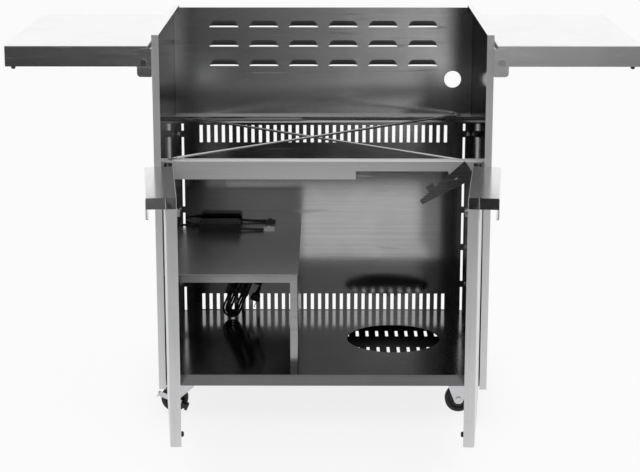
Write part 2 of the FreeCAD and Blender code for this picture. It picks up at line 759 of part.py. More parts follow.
# Doors, each modelled closed about its hinge pin and then hung open
for side, sign in SIDES:
    outer_span = door_span(sign, "-hinge_inset", "door_free_edge")
    inner_span = door_span(sign, "-hinge_inset + sheet_gauge", "door_free_edge - sheet_gauge")
    outer_y = ("-hinge_setback", "door_back")
    outer_z = ("door_bottom", "door_top")
    inner_z = ("door_bottom + sheet_gauge", "door_top - sheet_gauge")
    pin_hole = cylinder(f"{side}_pin_hole", "0", "0", ("door_bottom - sheet_gauge", "door_top + sheet_gauge"),
                        "pin_diameter + 2 * running_gap")
    skin = cut(
        f"{side}_door_skin",
        box(f"{side}_door_block", outer_span, outer_y, outer_z),
        box(f"{side}_door_hollow", inner_span,
            ("-hinge_setback + sheet_gauge", "door_back + sheet_gauge"), inner_z),
        pin_hole,
    )
    keep(f"{side}_door_skin", hang(skin, sign))

    liner_y = ("door_back - sheet_gauge", "door_back")
    hem_y = ("door_back - flange_width", "door_back")
    liner_far = "door_free_edge - sheet_gauge"
    liner_near = "-hinge_inset + sheet_gauge"
    liner = fuse(
        f"{side}_door_liner",
        box(f"{side}_liner_sheet", door_span(sign, liner_near, liner_far), liner_y, inner_z),
        box(f"{side}_liner_far_hem", door_span(sign, f"{liner_far} - sheet_gauge", liner_far),
            hem_y, inner_z),
        box(f"{side}_liner_near_hem", door_span(sign, liner_near, f"{liner_near} + sheet_gauge"),
            hem_y, inner_z),
    )
    keep(f"{side}_door_liner", hang(liner, sign))

    pull_span = door_span(sign, "pull_start - hinge_inset", "door_free_edge")
    pull_z = ("door_top", "door_top + pull_height")
    pull_top_z = ("door_top + pull_height - sheet_gauge", "door_top + pull_height")
    lip_y = ("-hinge_setback - pull_reach", "-hinge_setback - pull_reach + sheet_gauge")
    lip_bottom = "door_top + pull_height - pull_lip"
    pull = fuse(
        f"{side}_door_pull",
        box(f"{side}_pull_top", pull_span, ("-hinge_setback - pull_reach", "door_back"), pull_top_z),
        box(f"{side}_pull_back", pull_span, ("door_back - sheet_gauge", "door_back"), pull_z),
        box(f"{side}_pull_front", pull_span, ("-hinge_setback", "-hinge_setback + sheet_gauge"), pull_z),
        box(f"{side}_pull_lip", pull_span, lip_y, (lip_bottom, "door_top + pull_height")),
        box(f"{side}_pull_curl", pull_span,
            ("-hinge_setback - pull_reach", "-hinge_setback - pull_reach + pull_curl"),
            (lip_bottom, f"{lip_bottom} + sheet_gauge")),
        box(f"{side}_pull_end", door_span(sign, "door_free_edge - sheet_gauge", "door_free_edge"),
            outer_y, pull_z),
        box(f"{side}_pull_heel",
            door_span(sign, "pull_start - hinge_inset", "pull_start - hinge_inset + sheet_gauge"),
            outer_y, pull_z),
    )
    keep(f"{side}_door_pull", hang(pull, sign))

    strike_edge = "door_free_edge - strike_inset"
    strike_z = ("door_top - strike_inset - strike_height", "door_top - strike_inset")
    strike = fuse(
        f"{side}_door_strike",
        box(f"{side}_strike_foot", door_span(sign, f"{strike_edge} - 2 * strike_width", strike_edge),
            ("door_back", "door_back + sheet_gauge"), strike_z),
        box(f"{side}_strike_block", door_span(sign, f"{strike_edge} - strike_width", strike_edge),
            ("door_back", "door_back + strike_proud"), strike_z),
    )
    keep(f"{side}_door_strike", hang(strike, sign))

    bumper_x = f"{-sign} * (door_free_edge - door_bumper_diameter)"
    bumper_z = "door_bottom + door_bumper_lift"
    bumper = fuse(
        f"{side}_door_bumper",
        cylinder(f"{side}_bumper_disc", bumper_x, ("door_back", "door_back + door_bumper_proud / 2"),
                 bumper_z, "door_bumper_diameter"),
        cylinder(f"{side}_bumper_nose", bumper_x, ("door_back", "door_back + door_bumper_proud"),
                 bumper_z, "door_bumper_diameter * 2 / 3"),
    )
    keep(f"{side}_door_bumper", hang(bumper, sign))

# Hinge brackets on the front rail and the floor lip, with their pins
bracket_solids = []
pin_solids = []
leg_y = ("rail_face - hinge_gauge", "rail_face")
foot_y = ("hinge_line - hinge_half_width", "rail_face")
upper_foot = "door_top + upper_hinge_lift"
lower_foot = "door_bottom - lower_hinge_drop"
for side, sign in SIDES:
    pivot_x = f"{sign} * pivot_offset"
    bracket_x = (f"{pivot_x} - hinge_half_width", f"{pivot_x} + hinge_half_width")
    upper_angle = fuse(
        f"{side}_upper_hinge_blank",
        box("upper_hinge_foot", bracket_x, foot_y, (upper_foot, f"{upper_foot} + hinge_gauge")),
        box("upper_hinge_leg", bracket_x, leg_y, (upper_foot, f"{upper_foot} + hinge_leg")),
    )
    lower_angle = fuse(
        f"{side}_lower_hinge_blank",
        box("lower_hinge_foot", bracket_x, foot_y, (f"{lower_foot} - hinge_gauge", lower_foot)),
        box("lower_hinge_leg", bracket_x, leg_y,
            (f"{lower_foot} - hinge_gauge", "floor_height - sheet_gauge")),
    )
    upper_pin_z = ("door_top - pin_reach", f"{upper_foot} + hinge_gauge")
    lower_pin_z = (f"{lower_foot} - hinge_gauge", "door_bottom + pin_reach")
    for level, angle, pin_z in (("upper", upper_angle, upper_pin_z), ("lower", lower_angle, lower_pin_z)):
        bore = cylinder(f"{level}_hinge_bore", pivot_x, "hinge_line", pin_z, "pin_diameter")
        bracket_solids.append(cut(f"{side}_{level}_hinge_bracket", angle, bore))
    pin_solids.append(fuse(
        f"{side}_upper_hinge_pin",
        cylinder("upper_pin", pivot_x, "hinge_line", upper_pin_z, "pin_diameter"),
        cylinder("upper_collar", pivot_x, "hinge_line", ("door_top + running_gap", upper_foot),
                 "pin_collar_diameter"),
    ))
    pin_solids.append(fuse(
        f"{side}_lower_hinge_pin",
        cylinder("lower_pin", pivot_x, "hinge_line", lower_pin_z, "pin_diameter"),
        cylinder("lower_collar", pivot_x, "hinge_line", (lower_foot, "door_bottom - running_gap"),
                 "pin_collar_diameter"),
    ))
keep("hinge_brackets", group("hinge_brackets", *bracket_solids))
keep("hinge_pins", group("hinge_pins", *pin_solids))

# Magnets behind the front rail, opposite the closed doors' strikes
magnet_solids = []
magnet_far = "door_gap / 2 + strike_inset + strike_width"
for side, sign in SIDES:
    magnet_solids.append(box(
        f"{side}_magnet", outward(sign, "door_gap / 2 + strike_inset", magnet_far),
        ("rail_face + sheet_gauge", "rail_face + sheet_gauge + magnet_thickness"),
        ("rail_bottom", "rail_bottom + strike_height")))
keep("door_magnets", group("door_magnets", *magnet_solids))

# Side shelves: folded pans with rubber bumpers under their outer ends
for side, sign in SIDES:
    pan_span = outward(sign, "shelf_inner_end", "shelf_outer_end")
    hollow_span = outward(sign, "shelf_inner_end + sheet_gauge", "shelf_outer_end - sheet_gauge")
    return_span = outward(sign, "shelf_outer_end - side_shelf_return", "shelf_outer_end")
    pivot_x = f"{sign} * shelf_pivot_x"
    shelf_hollow = box(f"{side}_shelf_hollow", hollow_span,
                       ("shelf_front + sheet_gauge", "shelf_rear - sheet_gauge"),
                       ("shelf_underside - sheet_gauge", "side_shelf_top - sheet_gauge"))
    pivot_hole = cylinder(f"{side}_pivot_hole", pivot_x,
                          ("shelf_front - sheet_gauge", "shelf_rear + sheet_gauge"),
                          "shelf_pivot_z", "pivot_diameter + 2 * running_gap")
    hollow_pan = cut(
        f"{side}_hollow_pan",
        box(f"{side}_shelf_block", pan_span, ("shelf_front", "shelf_rear"),
            ("shelf_underside", "side_shelf_top")),
        shelf_hollow, pivot_hole,
    )
    outer_return = box(f"{side}_shelf_return", return_span, ("shelf_front", "shelf_rear"),
                       ("shelf_underside", "shelf_underside + sheet_gauge"))
    keep(f"{side}_shelf_pan", fuse(f"{side}_shelf_pan", hollow_pan, outer_return))

    bumper_x = f"{sign} * (shelf_outer_end - shelf_bumper_inset)"
    bumper_ends = ("shelf_front + shelf_bumper_inset", "shelf_rear - shelf_bumper_inset")
    shelf_bumpers = [
        fuse(
            f"{side}_{end_name}_shelf_bumper",
            cylinder("shelf_bumper_stem", bumper_x, bumper_y,
                     ("shelf_underside - shelf_bumper_proud", "shelf_underside"),
                     "shelf_bumper_diameter * 3 / 4"),
            cylinder("shelf_bumper_flange", bumper_x, bumper_y,
                     ("shelf_underside - shelf_bumper_proud / 2", "shelf_underside"),
                     "shelf_bumper_diameter"),
        )
        for end_name, bumper_y in zip(("front", "rear"), bumper_ends)
    ]
    keep(f"{side}_shelf_bumpers", group(f"{side}_shelf_bumpers", *shelf_bumpers))


def bracket_plate(name, body_y, sign):
    """A shelf bracket's face plate with two rounded outer corners and a hole for the pivot."""
    plate = doc.addObject("Part::Box", name)
    low, high = outward(sign, "half_width", "half_width + bracket_reach")
    bind(plate, "Length", f"({high}) - ({low})")
    bind(plate, "Width", "bracket_gauge")
    bind(plate, "Height", "bracket_height")
    place(plate, low, body_y, "bracket_bottom")
    plate.recompute()
    outer_x = sign * (size("half_width") + size("bracket_reach"))
    half_gauge = size("bracket_gauge") / 2
    corners = [
        number for number, edge in enumerate(plate.Shape.Edges, start=1)
        if edge.BoundBox.YLength > half_gauge and abs(edge.CenterOfMass.x - outer_x) < half_gauge
    ]
    rounded = doc.addObject("Part::Fillet", f"{name}_rounded")
    rounded.Base = plate
    rounded.Edges = [(number, size("bracket_corner"), size("bracket_corner")) for number in corners]
    return rounded


# Shelf brackets: an angle at the front and the rear of each side panel, with pivot bolts
bracket_solids = []
bolt_solids = []
for side, sign in SIDES:
    pivot_x = f"{sign} * shelf_pivot_x"
    leg_span = outward(sign, "half_width", "half_width + bracket_gauge")
    bracket_up = ("bracket_bottom", "bracket_bottom + bracket_height")
    front_plate = "shelf_front - bracket_play - bracket_gauge"
    rear_plate = "shelf_rear + bracket_play"
    front_leg = (front_plate, f"{front_plate} + bracket_leg")
    rear_leg = (f"{rear_plate} + bracket_gauge - bracket_leg", f"{rear_plate} + bracket_gauge")
    for end_name, plate_y, leg_limits in (("front", front_plate, front_leg), ("rear", rear_plate, rear_leg)):
        bracket_name = f"{side}_{end_name}_bracket"
        angle = fuse(
            f"{bracket_name}_angle",
            bracket_plate(f"{bracket_name}_plate", plate_y, sign),
            box(f"{bracket_name}_leg", leg_span, leg_limits, bracket_up),
        )
        hole_limits = (f"{plate_y} - bracket_gauge", f"{plate_y} + 2 * bracket_gauge")
        hole = cylinder(f"{bracket_name}_hole", pivot_x, hole_limits, "shelf_pivot_z", "pivot_diameter")
        bracket_solids.append(cut(bracket_name, angle, hole))
        if end_name == "front":
            head_limits = (f"{plate_y} - pivot_head_height", plate_y)
            shank_limits = (f"{plate_y} - pivot_head_height", "shelf_front + pivot_reach")
        else:
            head_limits = (f"{plate_y} + bracket_gauge", f"{plate_y} + bracket_gauge + pivot_head_height")
            shank_limits = ("shelf_rear - pivot_reach", f"{plate_y} + bracket_gauge + pivot_head_height")
        bolt_solids.append(fuse(
            f"{bracket_name}_bolt",
            cylinder("pivot_head", pivot_x, head_limits, "shelf_pivot_z", "pivot_head_diameter"),
            cylinder("pivot_shank", pivot_x, shank_limits, "shelf_pivot_z", "pivot_diameter"),
        ))
keep("shelf_brackets", group("shelf_brackets", *bracket_solids))
keep("shelf_pivots", group("shelf_pivots", *bolt_solids))


def swivel_fork(name):
    """A bent fork on a kingpin, with its wheel trailing behind the pin on -X."""
    body = doc.addObject("PartDesign::Body", f"{name}_cheeks")
    eye_x = "-caster_trail"
    side_view = polygon(body, f"{name}_side_view", "XZ_Plane", [
        ("fork_nose", "crown_top"),
        ("-fork_nose", "crown_top"),
        (f"{eye_x} - fork_eye", "axle_height + fork_eye / 2"),
        (f"{eye_x} - fork_eye / 2", "axle_height - fork_eye"),
        (f"{eye_x} + fork_eye / 2", "axle_height - fork_eye"),
        (f"{eye_x} + fork_eye", "axle_height"),
        ("fork_nose", "crown_top - fork_nose / 2"),
    ])
    extrude(body, "Pad", side_view, "2 * fork_outside", side="Symmetric")
    wheel_room = rectangle(body, f"{name}_wheel_room", "XZ_Plane",
                           ("-caster_trail - wheel_diameter", "caster_trail + wheel_diameter"),
                           ("0", "crown_top - fork_gauge"))
    extrude(body, "Pocket", wheel_room, "2 * fork_inside", side="Symmetric")
    eye = circle(body, f"{name}_eye", "XZ_Plane", (eye_x, "axle_height"), "axle_diameter")
    extrude(body, "Pocket", eye, "4 * fork_outside", side="Symmetric")
    kingpin = cylinder(f"{name}_kingpin", "0", "0", ("crown_top - fork_gauge", "crown_top + kingpin_length"),
                       "kingpin_diameter")
    return fuse(name, body, kingpin)


def caster_plate(name):
    """A swivel caster's square plate with the housing that holds the kingpin."""
    housing_bottom = "plate_underside - swivel_housing_height"
    blank = fuse(
        f"{name}_blank",
        box(f"{name}_sheet", both("caster_plate_size / 2"), both("caster_plate_size / 2"),
            ("plate_underside", "panel_bottom")),
        cylinder(f"{name}_housing", "0", "0", (housing_bottom, "plate_underside"), "swivel_housing_diameter"),
    )
    bore = cylinder(f"{name}_bore", "0", "0",
                    (housing_bottom, f"{housing_bottom} + kingpin_length"),
                    "kingpin_diameter + 2 * running_gap")
    return cut(name, blank, bore)


def rigid_frame(name):
    """A rigid caster's plate and triangular cheeks, with its wheel right below the plate."""
    body = doc.addObject("PartDesign::Body", name)
    side_view = polygon(body, f"{name}_side_view", "XZ_Plane", [
        ("caster_plate_size / 2", "panel_bottom"),
        ("-caster_plate_size / 2", "panel_bottom"),
        ("-caster_plate_size / 2", "plate_underside - caster_plate_thickness"),
        ("-fork_eye", "axle_height - fork_eye / 2"),
        ("-fork_eye / 2", "axle_height - fork_eye"),
        ("fork_eye / 2", "axle_height - fork_eye"),
        ("fork_eye", "axle_height - fork_eye / 2"),
        ("caster_plate_size / 2", "plate_underside - caster_plate_thickness"),
    ])
    extrude(body, "Pad", side_view, "2 * fork_outside", side="Symmetric")
    wheel_room = rectangle(body, f"{name}_wheel_room", "XZ_Plane",
                           both("caster_plate_size"), ("0", "plate_underside"))
    extrude(body, "Pocket", wheel_room, "2 * fork_inside", side="Symmetric")
    plate = rectangle(body, f"{name}_plate", "XZ_Plane", both("caster_plate_size / 2"),
                      ("plate_underside", "panel_bottom"))
    extrude(body, "Pad", plate, "caster_plate_size", side="Symmetric")
    eye = circle(body, f"{name}_eye", "XZ_Plane", ("0", "axle_height"), "axle_diameter")
    extrude(body, "Pocket", eye, "4 * fork_outside", side="Symmetric")
    return body


def wheel(name):
    """A wheel turned about Y: hub, web, rim and a tread with bevelled shoulders."""
    body = doc.addObject("PartDesign::Body", name)
    bore = "axle_diameter / 2 + running_gap"
    tread = "wheel_diameter / 2"
    half_profile = [
        (bore, "wheel_width / 2 + fork_play - running_gap"),
        ("hub_diameter / 2", "wheel_width / 2 + fork_play - running_gap"),
        ("hub_diameter / 2 + tread_crown", "web_width / 2"),
        (f"{tread} - rim_depth - tread_crown", "web_width / 2"),
        (f"{tread} - rim_depth", "wheel_width / 2"),
        (f"{tread} - tread_crown", "wheel_width / 2"),
        (tread, "wheel_width / 2 - 2 * tread_crown"),
    ]
    mirrored = [(radius, f"-({half})") for radius, half in reversed(half_profile)]
    profile = polygon(body, f"{name}_profile", "XY_Plane", half_profile + mirrored)
    round_wheel = body.newObject("PartDesign::Revolution", f"{name}_turned")
    round_wheel.Profile = profile
    round_wheel.ReferenceAxis = (profile, ["V_Axis"])
    round_wheel.Angle = 360
    body.Tip = round_wheel
    return body


def axle(name, head_limit):
    """An axle bolt along Y with a head at both ends."""
    return fuse(
        name,
        cylinder(f"{name}_shank", "0", both(head_limit), "axle_height", "axle_diameter"),
        cylinder(f"{name}_far_head", "0", (head_limit, f"{head_limit} + axle_head_height"), "axle_height",
                 "axle_head_diameter"),
        cylinder(f"{name}_near_head", "0", (f"-({head_limit}) - axle_head_height", f"-({head_limit})"),
                 "axle_height", "axle_head_diameter"),
    )


def brake_lever(name):
    """A see-saw lever on the axle: a cheek plate with a tail that is bent over."""
    body = doc.addObject("PartDesign::Body", f"{name}_cheek")
    outline = rectangle(body, f"{name}_outline", "XZ_Plane", ("-lever_tail", "lever_toe"),
                        both("lever_width / 2"))
    extrude(body, "Pad", outline, "lever_gauge")
    eye = circle(body, f"{name}_eye", "XZ_Plane", ("0", "0"), "axle_diameter + 2 * running_gap")
    extrude(body, "Pocket", eye, "4 * lever_gauge", side="Symmetric")
    tail = box(f"{name}_tail", ("-lever_tail", "-lever_tail + lever_gauge"),
               ("-pedal_depth", "0"), both("lever_width / 2"))
    return fuse(name, body, tail)


def brake_pedal(name):
    """A moulded pedal on the toe of the lever, with a step for the shoe."""
    far = "-lever_gauge"
    return fuse(
        name,
        box(f"{name}_block", ("lever_toe - pedal_length", "lever_toe"), (f"{far} - pedal_depth", far),
            both("pedal_height / 2")),
        box(f"{name}_step", ("lever_toe - pedal_length / 3", "lever_toe"), (f"{far} - pedal_depth", far),
            ("-pedal_height / 2 - tread_crown", "pedal_height / 2 + tread_crown")),
    )


# Casters: swivel casters with brakes on the left, rigid casters on the right
caster_y = {"front": "front + caster_inset", "rear": "front + cabinet_depth - caster_inset"}
bolt_solids = []
for end_name, y in caster_y.items():
    left_x = "-caster_offset"
    wheel_x = "-caster_offset - caster_trail"
    name = f"{end_name}_left"
    keep(f"{name}_caster_plate", place(caster_plate(f"{name}_caster_plate"), left_x, y, "0"))
    keep(f"{name}_fork", place(swivel_fork(f"{name}_fork"), left_x, y, "0"))
    keep(f"{name}_axle", place(axle(f"{name}_axle", "lever_outside + running_gap"), wheel_x, y, "0"))
    keep(f"{name}_wheel", place(wheel(f"{name}_wheel"), wheel_x, y, "axle_height"))
    for piece_name, maker in (("brake_lever", brake_lever), ("brake_pedal", brake_pedal)):
        lever_piece = maker(f"{name}_{piece_name}")
        turn(lever_piece, ACROSS, "lever_angle")
        keep(f"{name}_{piece_name}", place(lever_piece, wheel_x, f"{y} - lever_inside", "axle_height"))

    right_x = "caster_offset"
    name = f"{end_name}_right"
    keep(f"{name}_caster_frame", place(rigid_frame(f"{name}_caster_frame"), right_x, y, "0"))
    keep(f"{name}_axle", place(axle(f"{name}_axle", "fork_outside"), right_x, y, "0"))
    keep(f"{name}_wheel", place(wheel(f"{name}_wheel"), right_x, y, "axle_height"))

    for bolt_x in (left_x, right_x):
        for x_step in (-1, 1):
            for y_step in (-1, 1):
                bolt_solids.append(cylinder(
                    "caster_bolt", f"{bolt_x} + {x_step} * caster_bolt_spacing / 2",
                    f"{y} + {y_step} * caster_bolt_spacing / 2",
                    ("plate_underside - screw_head_height", "plate_underside"), "caster_bolt_diameter"))
keep("caster_bolts", group("caster_bolts", *bolt_solids))

# Light transformer on the inner shelf: a case on a flat base, with a gland for the mains cord
case_across = ("-transformer_left", "-transformer_right")
case_along = ("transformer_front", "transformer_rear")
base_top = "shelf_height + transformer_base_height"
transformer_top = "shelf_height + transformer_height"
gland_axis_z = "shelf_height + gland_lift"
keep("transformer_base", box("transformer_base", case_across, case_along, ("shelf_height", base_top)))
keep("transformer_case", fuse(
    "transformer_case",
    box("case_block", case_across, case_along,
        (base_top, f"{transformer_top} - transformer_edge")),
    box("case_crown",
        ("-transformer_left + transformer_edge", "-transformer_right - transformer_edge"),
        ("transformer_front + transformer_edge", "transformer_rear - transformer_edge"),
        (base_top, transformer_top)),
))
gland = doc.addObject("Part::Cone", "mains_gland")
bind(gland, "Radius1", "gland_diameter / 2")
bind(gland, "Radius2", "gland_tip_diameter / 2")
bind(gland, "Height", "gland_length")
turn(gland, ACROSS, "-90")
keep("mains_gland", place(gland, "-transformer_left", "transformer_middle", gland_axis_z))


def rounded_route(points):
    """Straight runs joined by tangent arcs, each arc as large as its two runs allow."""
    share = 0.45
    edges = []
    radii = []
    start = points[0]
    for before, corner, after in zip(points, points[1:], points[2:]):
        back = before - corner
        ahead = after - corner
        half_turn = (math.pi - back.getAngle(ahead)) / 2
        setback = share * min(back.Length, ahead.Length)
        radius = setback / math.tan(half_turn)
        radii.append(radius)
        back.normalize()
        ahead.normalize()
        first = corner + back * setback
        last = corner + ahead * setback
        inward = (back + ahead).normalize()
        middle = corner + inward * (radius / math.cos(half_turn) - radius)
        edges.append(Part.LineSegment(start, first).toShape())
        edges.append(Part.Arc(first, middle, last).toShape())
        start = last
    edges.append(Part.LineSegment(start, points[-1]).toShape())
    return Part.Wire(edges), radii


def tube(wire, diameter):
    """A round tube along a path, with its volume compared with its section times its length."""
    first = wire.Edges[0]
    start = first.valueAt(first.FirstParameter)
    heading = first.tangentAt(first.FirstParameter)
    section = Part.Wire(Part.makeCircle(diameter / 2, start, heading))
    solid = wire.makePipeShell([section], True, False)
    expected = math.pi * diameter ** 2 / 4 * wire.Length
    print(f"tube {wire.Length:.0f} mm long, volume {solid.Volume / expected:.4f} of section times length")
    return solid


# The mains cord's hank: a leaning plane of loops that spiral in, climb a layer and spiral out
lean = math.radians(size("hank_lean"))
along_hank = Vector(math.sin(lean), 0, math.cos(lean))
across_hank = Vector(math.cos(lean), 0, -math.sin(lean))
hank_centre = Vector(-size("hank_offset"), size("hank_middle"), size("hank_lift"))
half_run = size("hank_run") / 2
back_layer = size("hank_pitch") / 2
front_layer = -size("hank_pitch") / 2


def hank_point(along, across, layer):
    """A point of the hank from its distances along, across and between layers."""
    return hank_centre + along_hank * along + across_hank * across + Vector(0, layer, 0)


def half_loop(end, start_across, end_across, layer):
    """A half turn at the top (+1) or the bottom (-1) of the hank."""
    middle = (start_across + end_across) / 2
    radius = abs(end_across - start_across) / 2
    return Part.Arc(
        hank_point(end * half_run, start_across, layer),
        hank_point(end * (half_run + radius), middle, layer),
        hank_point(end * half_run, end_across, layer)).toShape()


def straight_run(start_along, end_along, across, layer):
    """A straight run of the hank."""
    return Part.LineSegment(
        hank_point(start_along, across, layer), hank_point(end_along, across, layer)).toShape()


def climbing_run(across):
    """A run up the hank that crosses from the back layer to the front one in two gentle arcs."""
    half_climb = (back_layer - front_layer) / 2
    radius = (half_run ** 2 + half_climb ** 2) / (2 * half_climb)
    quarter = half_run / 2
    sway = radius - math.sqrt(radius ** 2 - quarter ** 2)
    crossing = hank_point(0, across, back_layer - half_climb)
    lower = Part.Arc(hank_point(-half_run, across, back_layer),
                     hank_point(-quarter, across, back_layer - sway), crossing)
    upper = Part.Arc(crossing, hank_point(quarter, across, front_layer + sway),
                     hank_point(half_run, across, front_layer))
    return [lower.toShape(), upper.toShape()]


def hank_path():
    """The whole hank as one path: in along the back layer, up, and out along the front layer."""
    pitch = size("hank_pitch")
    turns = int(size("hank_turns"))
    rights = [size("hank_half_width") - pitch * step for step in range(turns)]
    lefts = [right - pitch / 2 for right in rights]
    edges = []
    for step in range(turns):
        edges.append(straight_run(half_run, -half_run, rights[step], back_layer))
        edges.append(half_loop(-1, rights[step], -lefts[step], back_layer))
        if step < turns - 1:
            edges.append(straight_run(-half_run, half_run, -lefts[step], back_layer))
            edges.append(half_loop(1, -lefts[step], rights[step + 1], back_layer))
    edges += climbing_run(-lefts[-1])
    left = lefts[-1]
    for right in reversed(rights):
        edges.append(half_loop(1, -left, right, front_layer))
        edges.append(straight_run(half_run, -half_run, right, front_layer))
        left = right + pitch / 2
        edges.append(half_loop(-1, right, -left, front_layer))
        edges.append(straight_run(-half_run, half_run, -left, front_layer))
    edges.append(half_loop(1, -left, size("plug_offset"), front_layer))
    edges.append(straight_run(half_run, half_run - size("plug_tail"), size("plug_offset"), front_layer))
    return Part.Wire(edges)


def least_gap(wire, diameter):
    """The least gap between stretches of a tube that are well apart along it."""
    step = diameter / 2
    apart = int(4 * diameter / step)
    points = wire.discretize(Distance=step)
    least = min(
        (points[second] - points[first]).Length
        for first in range(len(points))
        for second in range(first + apart, len(points)))
    return least - diameter


hank_wire = hank_path()
cord_diameter = size("cord_diameter")
keep("mains_hank", fixed_shape("mains_hank", tube(hank_wire, cord_diameter)))
print(f"hank's least gap to itself {least_gap(hank_wire, cord_diameter):.2f} mm")

# The tie round the hank's middle
tie_right = "hank_half_width + cord_diameter / 2 + running_gap"
tie_left = "hank_half_width + hank_pitch / 2 + cord_diameter / 2 + running_gap"
tie_half_depth = "hank_pitch / 2 + cord_diameter / 2 + running_gap"
tie_up = both("tie_width / 2")
tie = cut(
    "hank_tie",
    box("tie_outside", (f"-({tie_left}) - tie_thickness", f"{tie_right} + tie_thickness"),
        both(f"{tie_half_depth} + tie_thickness"), tie_up),
    box("tie_inside", (f"-({tie_left})", tie_right), both(tie_half_depth), both("tie_width")),
)
turn(tie, ACROSS, "hank_lean")
keep("hank_tie", place(tie, "-hank_offset", "hank_middle", "hank_lift"))

# The mains plug at the end of the hank, hanging beside it
prong_x = "prong_spacing / 2"
plug_bottom = "-plug_length"
plug = fuse(
    "mains_plug",
    box("plug_body", both("plug_width / 2"), both("plug_depth / 2"), (plug_bottom, "-plug_length / 4")),
    cylinder("plug_neck", "0", "0", ("-plug_length / 2", "0"), "plug_depth * 2 / 3"),
    *[
        box("plug_prong", (f"{prong_sign} * {prong_x} - prong_thickness / 2",
                           f"{prong_sign} * {prong_x} + prong_thickness / 2"),
            both("prong_width / 2"), (f"{plug_bottom} - prong_length", plug_bottom))
        for prong_sign in (-1, 1)
    ],
)
turn(plug, ACROSS, "hank_lean")
plug_along = "(hank_run / 2 - plug_tail)"
keep("mains_plug", place(
    plug,
    f"-hank_offset + {plug_along} * sin(hank_lean * 1 deg) + plug_offset * cos(hank_lean * 1 deg)",
    "hank_middle - hank_pitch / 2",
    f"hank_lift + {plug_along} * cos(hank_lean * 1 deg) - plug_offset * sin(hank_lean * 1 deg)"))

# The mains cord from the gland, round behind the transformer, down through the notch to the hank.
# Its points are chosen by hand from the gland's tip, the shelf and the start of the hank.
gland_tip = Vector(-size("transformer_left") - size("gland_length"), size("transformer_middle"),
                   size("shelf_height") + size("gland_lift"))
hank_start = hank_point(half_run, size("hank_half_width"), back_layer)
CORD_FROM_GLAND = [
    (0, 0, 0), (-11, 0.8, -0.3), (-22, 5, -1.5), (-29, 14, -4), (-29, 24, -6.5), (-22, 32.5, -9),
    (-10, 37, -11), (6, 38.5, -12.2), (26, 38.8, -12.6), (48, 38.2, -12.7), (70, 37.5, -12.8),
    (86, 36.5, -15), (97, 35, -24), (105, 32, -39), (114, 28, -57), (128, 19, -69),
]
CORD_TO_HANK = [(-6, 22, 55), (8, 12, 48), (13, 4, 37), (9.7, 0.5, 24), (4.5, 0, 11), (0, 0, 0)]
cord_points = [gland_tip + Vector(*offset) for offset in CORD_FROM_GLAND]
cord_points += [hank_start + Vector(*offset) for offset in CORD_TO_HANK]
cord_wire, cord_radii = rounded_route(cord_points)
print("mains cord's bend radii", [round(radius) for radius in cord_radii])
keep("mains_cord", fixed_shape("mains_cord", tube(cord_wire, cord_diameter)))

# The short output lead lying on the shelf, and its connector
lead_exit = Vector(-size("transformer_right"), size("transformer_middle"),
                   size("shelf_height") + size("lead_exit_lift"))
lead_rest = size("lead_diameter") / 2 + size("running_gap") - size("lead_exit_lift")
# Shares of the lead's sway and of its drop to the shelf, at even steps along it
LEAD_SHARES = [(0, 0), (0.5, 0.4), (0.2, 0.8), (-0.8, 1), (-1, 1)]
lead_step = size("lead_length") / (len(LEAD_SHARES) - 1)
lead_points = [
    lead_exit + Vector(step * lead_step, sway * size("lead_sway"), drop * lead_rest)
    for step, (sway, drop) in enumerate(LEAD_SHARES)
]
lead_wire, lead_radii = rounded_route(lead_points)
print("output lead's bend radii", [round(radius) for radius in lead_radii])
keep("output_lead", fixed_shape("output_lead", tube(lead_wire, size("lead_diameter"))))
connector_start = "-transformer_right + lead_length"
connector_bottom = "shelf_height + running_gap"
connector_middle = "transformer_middle - lead_sway"
keep("output_connector", fuse(
    "output_connector",
    box("connector_body", (connector_start, f"{connector_start} + connector_length"),
        (f"{connector_middle} - connector_width / 2", f"{connector_middle} + connector_width / 2"),
        (connector_bottom, f"{connector_bottom} + connector_height * 3 / 4")),
    box("connector_latch",
        (f"{connector_start} + connector_length / 3", f"{connector_start} + connector_length * 2 / 3"),
        (f"{connector_middle} - connector_width / 4", f"{connector_middle} + connector_width / 4"),
        (connector_bottom, f"{connector_bottom} + connector_height")),
))

# Check every object and every piece before anything is written
doc.recompute()
for thing in doc.Objects:
    if "Invalid" in thing.State or "Error" in thing.State:
        raise RuntimeError(f"{thing.Label} failed: {thing.State}")
for piece in pieces:
    if piece.Shape.isNull() or not piece.Shape.isValid():
        raise RuntimeError(f"{piece.Label} has no valid shape")

os.makedirs("parts", exist_ok=True)
for piece in pieces:
    piece.Shape.exportStep(f"parts/{piece.Label}.step")
print(f"{len(pieces)} pieces written")
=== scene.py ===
# %% [markdown]
# # A stainless grill cart
# The cart is an open cabinet of folded stainless sheet with two doors, two side shelves and four casters.
# Its measured solids are loaded first, as a fixed frame in metres, and every piece and finish in this
# lesson is built around them.

# %% Load the frame
import json
import math

